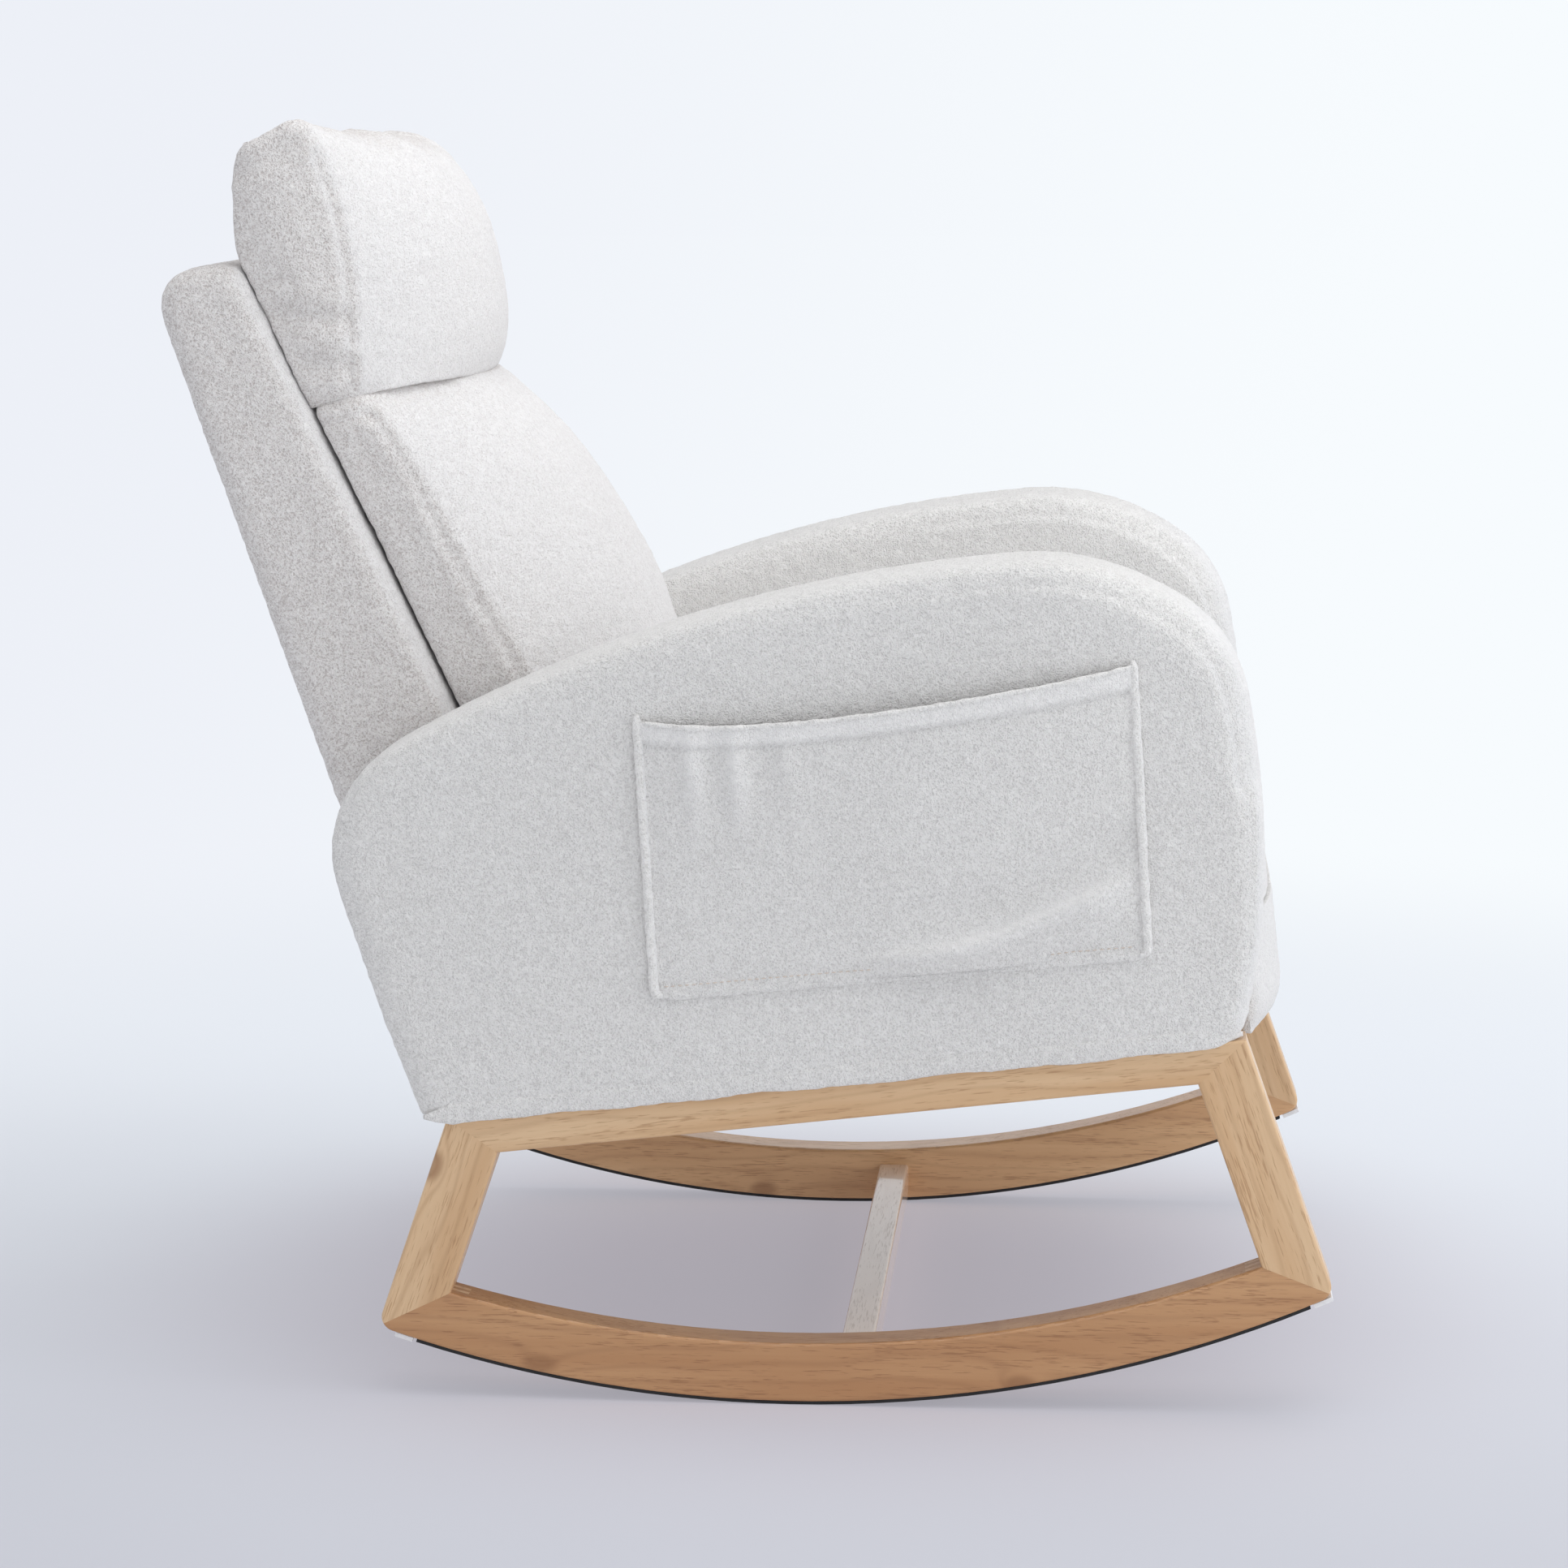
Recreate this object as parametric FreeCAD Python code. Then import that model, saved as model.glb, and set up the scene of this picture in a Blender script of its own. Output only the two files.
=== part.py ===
import FreeCAD, Part
import math
import os

from FreeCAD import Placement, Rotation, Vector

# An upholstered rocking chair. Two mitred, finger-jointed side frames on curved runners carry a
# padded seat between two padded arms, a padded back, a back cushion and a headrest pillow.
# Millimetres and degrees. X runs across the chair, the front faces -Y and +Z is up.
# The origin lies on the floor, midway between the runners, where they touch it at rest.

# Side frames
frame_spacing = 645.0         # between the middle planes of the two side frames
bar_thickness = 35.0          # every bar, across the chair
post_width = 47.0             # front and rear posts, seen from the side
rail_depth = 32.0             # top rail
runner_depth = 47.5           # runner at its lowest point
rocker_radius = 1020.0        # floor side of the grip strips
runner_top_radius = 1026.0    # upper edge of the runners
rail_height = 229.0           # underside of the top rail above the floor contact
window_front = 322.0          # upper front corner of the frame's opening, ahead of the contact
window_rear = 231.0           # upper rear corner of the opening, behind the contact
front_lean = 19.6             # front post, from upright
rear_lean = 18.7              # rear post, from upright
tip_radius = 12.0             # rounded ends of the runners
edge_radius = 2.5             # eased edges of the bars
finger_layers = 7             # layers across a bar, the two outer ones plain mitres
finger_length = 18.0          # overlap of the fingers along the joint

# Runner fittings
grip_thickness = 2.5
grip_bond = 0.3               # adhesive between the strip or pads and the runner
grip_margin = 2.5             # bare wood on each side of the strip
grip_front = 412.0            # reach of the strip ahead of the contact
grip_rear = 298.0             # and behind it
pad_thickness = 3.5
pad_length = 14.0
pad_gap = 3.0                 # between the strip's end and the stop pad

# Stretcher between the runners
stretcher_width = 27.0
stretcher_height = 30.0
stretcher_front = 52.0        # its middle, ahead of the contact
stretcher_floor_gap = 7.0
dowel_radius = 4.0
dowel_length = 36.0
dowel_spacing = 14.0

# The upholstered body, laid out on the plane of the top rails
seat_tilt = 6.7               # the rails rise to the front
arm_proud = 4.0               # arm's outer face beyond the wood
arm_thickness = 112.0
arm_padding = 12.0            # foam and cover over the arm's frame
arm_round = 16.0              # rounded edges of the arm
arm_rear_foot = 296.0         # arm's rear edge on the rail plane
arm_front_foot = 360.0        # arm's front edge on the rail plane
arm_rear_lean = 11.9          # arm's rear edge, from the rail plane's normal
arm_rear_rise = 194.0         # straight part of the rear edge
arm_shoulder_reach = 281.0    # where the rear corner runs into the top, behind the contact
arm_shoulder_height = 295.0
arm_crest_reach = 222.0       # highest stretch of the top, ahead of the contact
arm_crest_height = 389.0
arm_brow_reach = 356.0        # where the top turns down
arm_brow_height = 334.0
arm_nose_reach = 389.0        # where the nose runs into the front edge
arm_nose_height = 266.0
panel_thickness = 12.0        # plywood sides of the arm's frame
arm_base_height = 30.0        # hardwood rail along the foot of the arm
panel_hole_radius = 60.0      # lightening hole of the plywood sides
panel_hole_spread = 130.0     # between the holes' middles
panel_hole_rise = 165.0
block_depth = 34.0            # front and rear spacer blocks between the plywood sides
top_block_height = 17.0

# Seat box between the arms
seat_drop = 20.0              # hangs below the rail plane
seat_rail_top = 75.0
seat_rail_thickness = 25.0
seat_front = 358.0            # front face of the front rail
corner_leg = 55.0             # triangular corner blocks
corner_height = 40.0
web_width = 50.0
web_thickness = 2.5
seat_webs_long = 5
seat_webs_cross = 4
dust_cover_thickness = 1.5
apron_thickness = 39.0        # padded front below the seat cushion
apron_round = 24.0            # rounded lower edge of the apron
seat_clearance = 0.3          # between soft pieces and what they rest against

# Seat cushion
seat_cushion_edge = 56.0      # height of its sides
seat_cushion_lip = 38.0       # height of its front and rear ends
seat_cushion_crown = 30.0     # rise of its middle above its sides
seat_cushion_rear = 150.0     # reach behind the contact
pad_end_crown = 0.4           # share of a pad's crown that is left at its ends

# Back
back_foot_reach = 185.0       # front face of the back at the seat's height, behind the contact
back_foot_height = 128.0      # the seat's height over the rail plane
back_lean = 18.6              # front face, from the rail plane's normal
back_rear_lean = 12.5         # rear face, from the rail plane's normal
back_length = 588.0           # from the seat's height to the top, along the front face
back_crest_round = 30.0       # rear edge of the level top
back_side_gap = 2.0           # between the back and each arm
back_padding = 8.0
back_round = 16.0             # rounded edges of the back
back_stile_thickness = 18.0
back_rail_height = 60.0
back_rail_thickness = 18.0
lumbar_rail_rise = 176.0      # above the seat's height, along the front face
back_webs = 4
back_web_start = 35.0         # lowest strap, along the front face
back_web_step = 91.0

# Back cushion and headrest pillow
cushion_margin = 3.0          # shy of the back's sides
back_cushion_lift = 1.0       # its foot above the seat's height
back_cushion_length = 440.0
back_cushion_side = 62.0      # depth of its side boxing
back_cushion_end = 48.0       # depth of its boxing at the ends
back_cushion_crown = 100.0    # swell of its front
back_cushion_draw = 7.0       # sides drawn in between the corners
headrest_length = 214.0
headrest_seat = 8.0           # between cushion and pillow
headrest_side = 40.0          # side boxing at the pillow's foot
headrest_nod = 60.0           # the top leans forward by this much
headrest_roll = 84.0          # the rear rolls over to the top seam
headrest_roll_power = 20      # how late it does so
headrest_swell = 104.0
headrest_low = 0.35           # shift of the fullest part towards the foot, as a share of the length
headrest_tip = 0.12           # share of the swell that is left at the top seam
headrest_draw = 6.0
pad_wall = 6.0                # cover and quilting round a pad's loose filling

# Side pockets
pocket_width = 388.0
pocket_height = 222.0
pocket_front = 105.0          # middle of the pocket ahead of the contact
pocket_rise = 192.0           # middle of the pocket above the rail plane
pocket_wall = 4.0
pocket_mouth_swell = 17.0     # how far the mouth stands off the arm
pocket_foot_swell = 5.0
pocket_sag = 15.0             # dip of the mouth between its corners
pocket_hem = 9.0              # sewn edges
pocket_backing = 0.5          # slack between the arm and the pocket's sewn edge

# Fasteners
bolt_radius = 4.0
bolt_head_radius = 7.0
bolt_head_height = 5.0
insert_radius = 6.0
insert_length = 22.0
counterbore_depth = 7.0
counterbore_radius = 9.0
flange_radius = 9.0           # tee nuts
flange_thickness = 2.5
bolt_clearance = 0.2
base_bolt_front = 250.0
base_bolt_rear = 150.0
arm_bolt_front = 230.0
arm_bolt_rear = 15.0
arm_bolt_rise = 45.0
back_bolt_spread = 260.0
back_bolt_rise = 40.0

# Worked out from the sizes above
half_bar = bar_thickness / 2
runner_foot = grip_thickness + grip_bond      # underside of the runners above the floor contact
frame_x = frame_spacing / 2
arm_outer = frame_x + half_bar + arm_proud
arm_inner = arm_outer - arm_thickness
tilt = math.radians(seat_tilt)
rail_top = rail_height + rail_depth / math.cos(tilt)
ACROSS = Vector(1, 0, 0)
REAR = Vector(0, 1, 0)
UP = Vector(0, 0, 1)
BODY = Placement(Vector(0, 0, rail_top), Rotation(ACROSS, -seat_tilt))
BACK_FOOT = Vector(0, back_foot_reach, back_foot_height)
BACK = BODY * Placement(BACK_FOOT, Rotation(ACROSS, -back_lean))
FAR = 2000.0                  # longer than anything it has to cut through
OVERCUT = 1.0                 # how far a cutter reaches past what it cuts
STATIONS = (0.0, 0.04, 0.12, 0.35, 0.65, 0.88, 0.96, 1.0)       # sections along a pad, as shares


def side(y, z, x=0.0):
    """A point given by its place in the side view."""
    return Vector(x, y, z)


def line(start, end):
    return Part.LineSegment(start, end).toShape()


def arc(start, middle, end):
    return Part.Arc(start, middle, end).toShape()


def outline(points):
    return Part.Face(Part.Wire(Part.makePolygon(list(points) + [points[0]])))


def block(x0, x1, y0, y1, z0, z1):
    return Part.makeBox(x1 - x0, y1 - y0, z1 - z0, Vector(x0, y0, z0))


def slab(face, x0, x1):
    """A side view face made solid between two places across the chair."""
    moved = face.copy()
    moved.translate(Vector(x0, 0, 0))
    return moved.extrude(Vector(x1 - x0, 0, 0))


def edges_in_side_faces(shape):
    return [edge for edge in shape.Edges if edge.BoundBox.XLength < 1e-6]


def middle_of(edge):
    return edge.valueAt((edge.FirstParameter + edge.LastParameter) / 2)


def mirrored(shape):
    return shape.mirror(Vector(0, 0, 0), ACROSS)


def keep(name, shape, frame=None):
    """Write one node, moved from its own frame to the chair's."""
    placed = shape.copy()
    if frame:
        placed.Placement = frame * placed.Placement
    placed.exportStep("parts/" + name + ".step")


def keep_pair(name, shape, frame=None):
    """Write a piece of the right side, at -X, and its mirror image."""
    keep("right_" + name, shape, frame)
    keep("left_" + name, mirrored(shape), frame)


def group(solids):
    return Part.makeCompound(solids)


def both_sides(solids):
    return group(solids + [mirrored(solid) for solid in solids])


def meet(p, d, q, e):
    """Crossing point of two lines in the side view, each a point and a direction."""
    gap = q - p
    return p + d * ((gap.y * e.z - gap.z * e.y) / (d.y * e.z - d.z * e.y))


def meet_arc(p, d, centre, radius):
    """Where a line from inside a circle leaves it."""
    out = p - centre
    along = out.dot(d)
    return p + d * (math.sqrt(along ** 2 - out.dot(out) + radius ** 2) - along)


def tangent_arc(start, direction, end):
    """An arc that leaves start along direction and ends at end, with its end direction."""
    chord = end - start
    turn = 2 * math.atan2(direction.y * chord.z - direction.z * chord.y, direction.dot(chord))
    spin = Rotation(ACROSS, math.degrees(turn))
    half = Rotation(ACROSS, math.degrees(turn / 4)).multVec(direction)
    middle = start + half * (chord.Length / 2 / math.cos(turn / 4))
    return arc(start, middle, end), spin.multVec(direction)


# Side frames

def frame_corners():
    """Inner and outer corner of the side frame at each of its four joints."""
    slope = math.tan(tilt)
    front_in = side(-window_front, rail_height + window_front * slope)
    rear_in = side(window_rear, rail_height - window_rear * slope)
    rail_along = side(-math.cos(tilt), math.sin(tilt))
    rail_up = side(math.sin(tilt), math.cos(tilt))
    corners = {}
    for end, lean, way, head in (("front", front_lean, -1, front_in), ("rear", rear_lean, 1, rear_in)):
        angle = math.radians(lean)
        down = side(way * math.sin(angle), -math.cos(angle))
        outside = head + side(way * math.cos(angle), math.sin(angle)) * post_width
        outer_head = meet(outside, down, head + rail_up * rail_depth, rail_along)
        top_centre = side(0, runner_foot + runner_depth + runner_top_radius)
        foot = meet_arc(head, down, top_centre, runner_top_radius)
        outer_foot = meet_arc(outside, down, side(0, rocker_radius), rocker_radius - runner_foot)
        corners[end + "_head"] = (head, outer_head)
        corners[end + "_foot"] = (foot, outer_foot)
    return corners


def frame_blank(corners):
    """The whole side frame in one piece, before it is cut into bars."""
    ring = ["front_head", "rear_head", "rear_foot", "front_foot"]
    faces = []
    for layer, low in ((1, runner_foot), (0, runner_foot + runner_depth)):
        a, b, c, d = [corners[name][layer] for name in ring]
        faces.append(Part.Wire([line(a, b), line(b, c), arc(c, side(0, low), d), line(d, a)]))
    face = Part.makeFace(faces, "Part::FaceMakerBullseye")
    blank = slab(face, -half_bar, half_bar)
    tips = [corners[name][1] for name in ("front_foot", "rear_foot")]
    tip_edges = [edge for edge in blank.Edges
                 if any(edge.distToShape(Part.Vertex(tip))[0] < 1e-3 for tip in tips)
                 and edge.BoundBox.XLength > half_bar]
    return blank.makeFillet(tip_radius, tip_edges)


def ease_edges(bar, blank):
    """Round a bar's long edges, up to its joints: those that lie on the whole frame's rim."""
    rim = group(edges_in_side_faces(blank))
    eased = [edge for edge in edges_in_side_faces(bar)
             if rim.distToShape(Part.Vertex(middle_of(edge)))[0] < 1e-3]
    return bar.makeFillet(edge_radius, eased)


def joint_shift(layer):
    """How far a layer's cut lies from the mitre line: fingers alternate between the outer layers."""
    if layer in (0, finger_layers - 1):
        return 0.0
    return finger_length / 2 * (1 if layer % 2 else -1)


def bar_cutter(first, second, below):
    """The space that one bar takes up between its two joints, layer by layer across the frame."""
    depth = bar_thickness / finger_layers
    layers = []
    for layer in range(finger_layers):
        ends = []
        for inner, outer in (first, second):
            mitre = (outer - inner).normalize()
            shift = side(-mitre.z, mitre.y) * joint_shift(layer)
            ends.append((inner - mitre * post_width / 2 + shift, outer + mitre * post_width + shift))
        (inner_a, outer_a), (inner_b, outer_b) = ends
        drop = [side(outer_a.y, -post_width), side(outer_b.y, -post_width)] if below else []
        face = outline([inner_a, outer_a] + drop + [outer_b, inner_b])
        low = layer * depth - half_bar
        layers.append(slab(face, low, low + depth))
    return layers[0].multiFuse(layers[1:]).removeSplitter()


def runner_band(front, rear, thickness, half_width):
    """A band on the underside of a runner between two places along it, y to the front negative."""
    outer = rocker_radius - grip_thickness
    points = []
    for radius in (outer, outer + thickness):
        for y in (-front, (rear - front) / 2, rear):
            angle = math.asin(y / outer)
            points.append(side(radius * math.sin(angle), rocker_radius - radius * math.cos(angle)))
    a, b, c, d, e, f = points
    wire = Part.Wire([arc(a, b, c), line(c, f), arc(f, e, d), line(d, a)])
    return slab(Part.Face(wire), -half_width, half_width)


def build_side_frames():
    corners = frame_corners()
    blank = frame_blank(corners)
    bars = {
        "rocker_runner": ("front_foot", "rear_foot"),
        "front_post": ("front_head", "front_foot"),
        "top_rail": ("front_head", "rear_head"),
        "rear_post": ("rear_head", "rear_foot"),
    }
    to_right = Placement(Vector(-frame_x, 0, 0), Rotation())
    for name, (first, second) in bars.items():
        cutter = bar_cutter(corners[first], corners[second], name == "rocker_runner")
        bar = ease_edges(blank.common(cutter), blank)
        bar.Placement = to_right
        if name == "rocker_runner":
            for hole in stretcher_dowels(dowel_radius + bolt_clearance / 2):
                bar = bar.cut(hole)
        if name == "top_rail":
            for hole in base_bolt_holes():
                hole.Placement = BODY * hole.Placement
                bar = bar.cut(hole)
        keep_pair(name, bar)
    strip = runner_band(grip_front, grip_rear, grip_thickness, half_bar - grip_margin)
    strip.Placement = to_right
    keep_pair("grip_strip", strip)
    pads = []
    front_pad = grip_front + pad_gap
    rear_pad = grip_rear + pad_gap
    for front, rear in ((front_pad + pad_length, -front_pad), (-rear_pad, rear_pad + pad_length)):
        pad = runner_band(front, rear, pad_thickness, half_bar - grip_margin)
        pad.Placement = to_right
        pads.append(pad)
    keep("runner_stop_pads", both_sides(pads))


# Stretcher

def stretcher_dowels(radius):
    """The two dowels at the stretcher's right end."""
    face_x = -frame_x + half_bar
    middle_z = stretcher_floor_gap + stretcher_height / 2
    dowels = []
    for way in (-1, 1):
        start = side(-stretcher_front, middle_z + way * dowel_spacing / 2, face_x - dowel_length / 2)
        dowels.append(Part.makeCylinder(radius, dowel_length, start, ACROSS))
    return dowels


def build_stretcher():
    reach = frame_x - half_bar
    low = stretcher_floor_gap
    half = stretcher_width / 2
    bar = block(-reach, reach, -stretcher_front - half, half - stretcher_front, low, low + stretcher_height)
    long_edges = [edge for edge in bar.Edges if edge.BoundBox.XLength > reach]
    bar = bar.makeFillet(edge_radius, long_edges)
    for hole in stretcher_dowels(dowel_radius + bolt_clearance / 2):
        bar = bar.cut(hole).cut(mirrored(hole))
    keep("runner_stretcher", bar)
    keep("stretcher_dowels", both_sides(stretcher_dowels(dowel_radius)))


# Fasteners, each laid out on the plane of the top rails

def rod(radius, start, direction, length=FAR):
    return Part.makeCylinder(radius, length, start, direction)


def bolt(head, direction, length):
    """A round-headed bolt: head is the place under its head, direction points along its shank."""
    cap = rod(bolt_head_radius, head - direction * bolt_head_height, direction, bolt_head_height)
    return rod(bolt_radius, head, direction, length).fuse(cap).removeSplitter()


def insert_nut(mouth, direction):
    """A threaded insert with its mouth at one place, running along direction."""
    body = rod(insert_radius, mouth, direction, insert_length)
    return body.cut(rod(bolt_radius + bolt_clearance / 2, mouth, direction))


def tee_nut(mouth):
    """A nut in the plywood side of the right arm: a barrel through it and a flange behind it."""
    barrel = rod(insert_radius, mouth, -ACROSS, panel_thickness)
    flange = rod(flange_radius, mouth - ACROSS * panel_thickness, -ACROSS, flange_thickness)
    bore = rod(bolt_radius + bolt_clearance / 2, mouth + ACROSS * OVERCUT, -ACROSS)
    return barrel.fuse(flange).cut(bore)


def base_bolt_heads():
    """Places under the heads of the right side's two base bolts."""
    z = counterbore_depth - rail_depth
    return [side(y, z, -frame_x) for y in (-base_bolt_front, base_bolt_rear)]


def base_bolt_holes():
    holes = []
    for head in base_bolt_heads():
        through = rod(bolt_radius + bolt_clearance, head, UP)
        holes.append(through.fuse(rod(counterbore_radius, head, -UP, rail_depth)))
    return holes


def arm_bolt_heads():
    """Places under the heads of the right side's bolts, on the seat rail's inner face."""
    x = seat_rail_thickness - arm_inner
    return [side(y, arm_bolt_rise, x) for y in (-arm_bolt_front, arm_bolt_rear)]


def back_bolt_heads():
    y = seat_rear() - seat_rail_thickness
    return [side(y, back_bolt_rise, way * back_bolt_spread / 2) for way in (-1, 1)]


def back_bolt_mouth():
    """How far back the inserts in the back's bottom rail begin, clear of its leaning face."""
    lean = math.radians(back_lean)
    wall = (back_padding + seat_clearance) / math.cos(lean)
    return back_front_at(back_bolt_rise + insert_radius) + wall


def build_fasteners():
    base = [bolt(head, UP, rail_depth - counterbore_depth + insert_length) for head in base_bolt_heads()]
    inserts = [insert_nut(side(head.y, 0, head.x), UP) for head in base_bolt_heads()]
    keep("base_bolts", both_sides(base), BODY)
    keep("base_insert_nuts", both_sides(inserts), BODY)
    through = seat_rail_thickness + arm_padding
    arm = [bolt(head, -ACROSS, through + panel_thickness) for head in arm_bolt_heads()]
    nuts = [tee_nut(head - ACROSS * through) for head in arm_bolt_heads()]
    keep("arm_bolts", both_sides(arm), BODY)
    keep("arm_tee_nuts", both_sides(nuts), BODY)
    heads = back_bolt_heads()
    reach = back_bolt_mouth() - heads[0].y + insert_length
    keep("back_bolts", group([bolt(head, REAR, reach) for head in heads]), BODY)
    mouths = [side(back_bolt_mouth(), head.z, head.x) for head in heads]
    keep("back_insert_nuts", group([insert_nut(mouth, REAR) for mouth in mouths]), BODY)


# Arms

def arm_face(inset=0.0):
    """Side view of the arm. An inset one keeps its foot on the rail plane."""
    lean = math.radians(arm_rear_lean)
    rear_up = side(math.sin(lean), math.cos(lean))
    foot_rear = side(arm_rear_foot, 0) - rear_up * (inset / math.cos(lean))
    knee = side(arm_rear_foot, 0) + rear_up * arm_rear_rise
    marks = [
        side(arm_shoulder_reach, arm_shoulder_height),
        side(-arm_crest_reach, arm_crest_height),
        side(-arm_brow_reach, arm_brow_height),
        side(-arm_nose_reach, arm_nose_height),
    ]
    foot_front = side(-arm_front_foot, -inset)
    edges = [line(foot_rear, knee)]
    here, heading = knee, rear_up
    for mark in marks + [foot_front]:
        edge, heading = tangent_arc(here, heading, mark)
        edges.append(edge)
        here = mark
    edges.append(line(foot_front, foot_rear))
    face = Part.Face(Part.Wire(edges))
    return Part.Face(face.OuterWire.makeOffset2D(-inset)) if inset else face


def build_arms():
    outer_x, inner_x = -arm_outer, -arm_inner
    low_x, high_x = outer_x + arm_padding, inner_x - arm_padding
    blank = slab(arm_face(), outer_x, inner_x)
    rounded = [edge for edge in edges_in_side_faces(blank) if edge.BoundBox.ZMax > arm_round]
    cover = blank.makeFillet(arm_round, rounded)
    cover = cover.cut(slab(arm_face(arm_padding), low_x, high_x))
    for head in arm_bolt_heads():
        through = seat_rail_thickness + arm_padding + OVERCUT
        cover = cover.cut(rod(bolt_radius + bolt_clearance, head, -ACROSS, through))
    keep_pair("arm_cover", cover, BODY)
    core = arm_face(arm_padding + seat_clearance)
    above = block(-FAR, FAR, -FAR, FAR, arm_base_height, FAR)
    base = slab(core, low_x, high_x).cut(above)
    for head in base_bolt_heads():
        base = base.cut(rod(insert_radius + bolt_clearance / 2, head, UP))
    keep_pair("arm_base_rail", base, BODY)
    for name, x in (("outer", low_x), ("inner", high_x - panel_thickness)):
        panel = slab(core, x, x + panel_thickness).common(above)
        for way in (-1, 1):
            middle = side(way * panel_hole_spread / 2 - pocket_front, panel_hole_rise, x - OVERCUT)
            panel = panel.cut(rod(panel_hole_radius, middle, ACROSS))
        if name == "inner":
            for head in arm_bolt_heads():
                panel = panel.cut(rod(insert_radius + bolt_clearance / 2, head, -ACROSS))
        keep_pair("arm_" + name + "_panel", panel, BODY)
    space = slab(core, low_x + panel_thickness, high_x - panel_thickness).common(above)
    box = space.BoundBox
    places = [
        block(-FAR, FAR, -FAR, box.YMin + block_depth, -FAR, FAR),
        block(-FAR, FAR, box.YMax - block_depth, FAR, -FAR, FAR),
        block(-FAR, FAR, -FAR, FAR, box.ZMax - top_block_height, FAR),
    ]
    blocks = [solid for place in places for solid in space.common(place).Solids]
    keep_pair("arm_spacer_blocks", group(blocks), BODY)


# Seat box

def back_front_at(height):
    """How far back the front face of the back lies at a height over the rail plane."""
    return back_foot_reach + (height - back_foot_height) * math.tan(math.radians(back_lean))


def seat_rear():
    """Rear end of the seat box at its foot, where the rear rail begins to lean with the back."""
    return back_front_at(-seat_drop) - seat_clearance


def build_seat_box():
    low, high = -seat_drop, seat_rail_top
    half = arm_inner
    inside = half - seat_rail_thickness
    front, rear = -seat_front, seat_rear()
    front_in, rear_in = front + seat_rail_thickness, rear - seat_rail_thickness
    keep("seat_front_rail", block(-half, half, front, front_in, low, high), BODY)
    top_rear = back_front_at(high) - seat_clearance
    profile = outline([side(rear_in, low), side(rear, low), side(top_rear, high), side(rear_in, high)])
    rear_rail = slab(profile, -half, half)
    for head in back_bolt_heads():
        rear_rail = rear_rail.cut(rod(bolt_radius + bolt_clearance, head, REAR))
    keep("seat_rear_rail", rear_rail, BODY)
    side_rail = block(-half, -inside, front_in, rear_in, low, high)
    for head in arm_bolt_heads():
        side_rail = side_rail.cut(rod(bolt_radius + bolt_clearance, head, -ACROSS))
    keep_pair("seat_side_rail", side_rail, BODY)
    blocks = []
    for y, way in ((front_in, 1), (rear_in, -1)):
        corner = Vector(-inside, y, high - corner_height)
        face = outline([corner, corner + ACROSS * corner_leg, corner + REAR * way * corner_leg])
        blocks.append(face.extrude(UP * corner_height))
    keep("seat_corner_blocks", both_sides(blocks), BODY)
    keep("seat_webbing", group(seat_webs()), BODY)
    sheet = block(-half, half, front, rear, low - dust_cover_thickness, low)
    keep("seat_dust_cover", sheet, BODY)


def seat_webs():
    """Straps from front to rear, and straps from side to side laid on them."""
    straps = []
    half = arm_inner - seat_rail_thickness / 2
    front, rear = -seat_front, seat_rear()
    low = seat_rail_top
    step = 2 * half / seat_webs_long
    for count in range(seat_webs_long):
        x = (count + 0.5) * step - half - web_width / 2
        straps.append(block(x, x + web_width, front, rear, low, low + web_thickness))
    low += web_thickness
    step = (rear - front) / seat_webs_cross
    for count in range(seat_webs_cross):
        y = (count + 0.5) * step + front - web_width / 2
        straps.append(block(-arm_inner, arm_inner, y, y + web_width, low, low + web_thickness))
    return straps


def build_apron():
    """The padded front below the seat cushion, with a rounded lower edge."""
    y, front = -seat_front, -seat_front - apron_thickness
    low, high = -seat_drop, seat_rail_top
    bend = apron_round * (1 - math.sqrt(0.5))
    start, middle = side(front, low + apron_round), side(front + bend, low + bend)
    end = side(front + apron_round, low)
    wire = Part.Wire([
        line(side(y, low), side(y, high)),
        line(side(y, high), side(front, high)),
        line(side(front, high), start),
        arc(start, middle, end),
        line(end, side(y, low)),
    ])
    reach = arm_inner - seat_clearance
    keep("seat_apron", slab(Part.Face(wire), -reach, reach), BODY)


# Pads, lofted through sections along their length

def pad_section(height, half_width, rear, seam, crown):
    """A section across a pad: flat rear, straight sides and a swollen front towards -Y."""
    a, b = Vector(-half_width, -rear, height), Vector(half_width, -rear, height)
    c, d = Vector(half_width, -seam, height), Vector(-half_width, -seam, height)
    front = arc(c, Vector(0, -crown, height), d)
    return Part.Wire([line(a, b), line(b, c), front, line(d, a)])


def pad(sizes):
    return Part.makeLoft([pad_section(*size) for size in sizes], True)


def filled_pad(sizes):
    """A pad's cover: the loose filling that it holds is left out."""
    room = [(height, width - pad_wall, rear + pad_wall, seam - pad_wall, crown - pad_wall)
            for height, width, rear, seam, crown in sizes[1:-1]]
    return pad(sizes).cut(pad(room))


def fullness(share):
    """Swell along a pad, from nothing at its ends to one in its middle."""
    return math.sqrt(max(0.0, math.sin(math.pi * share)))


def end_blend(share):
    """Crown along a pad, as a share of its greatest one."""
    return pad_end_crown + (1 - pad_end_crown) * fullness(share)


def build_seat_cushion():
    """Lofted from the front edge to the rear."""
    front = -seat_front - apron_thickness
    length = seat_cushion_rear - front
    half = arm_inner - seat_clearance
    foot = seat_rail_top + 2 * web_thickness + seat_clearance
    sizes = []
    for share in STATIONS:
        edge = seat_cushion_lip + (seat_cushion_edge - seat_cushion_lip) * fullness(share)
        crown = edge + seat_cushion_crown * end_blend(share)
        sizes.append((share * length, half, 0, edge, crown))
    lay_down = Placement(Vector(0, front, foot), Rotation(ACROSS, -90))
    keep("seat_cushion", pad(sizes), BODY * lay_down)


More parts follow.
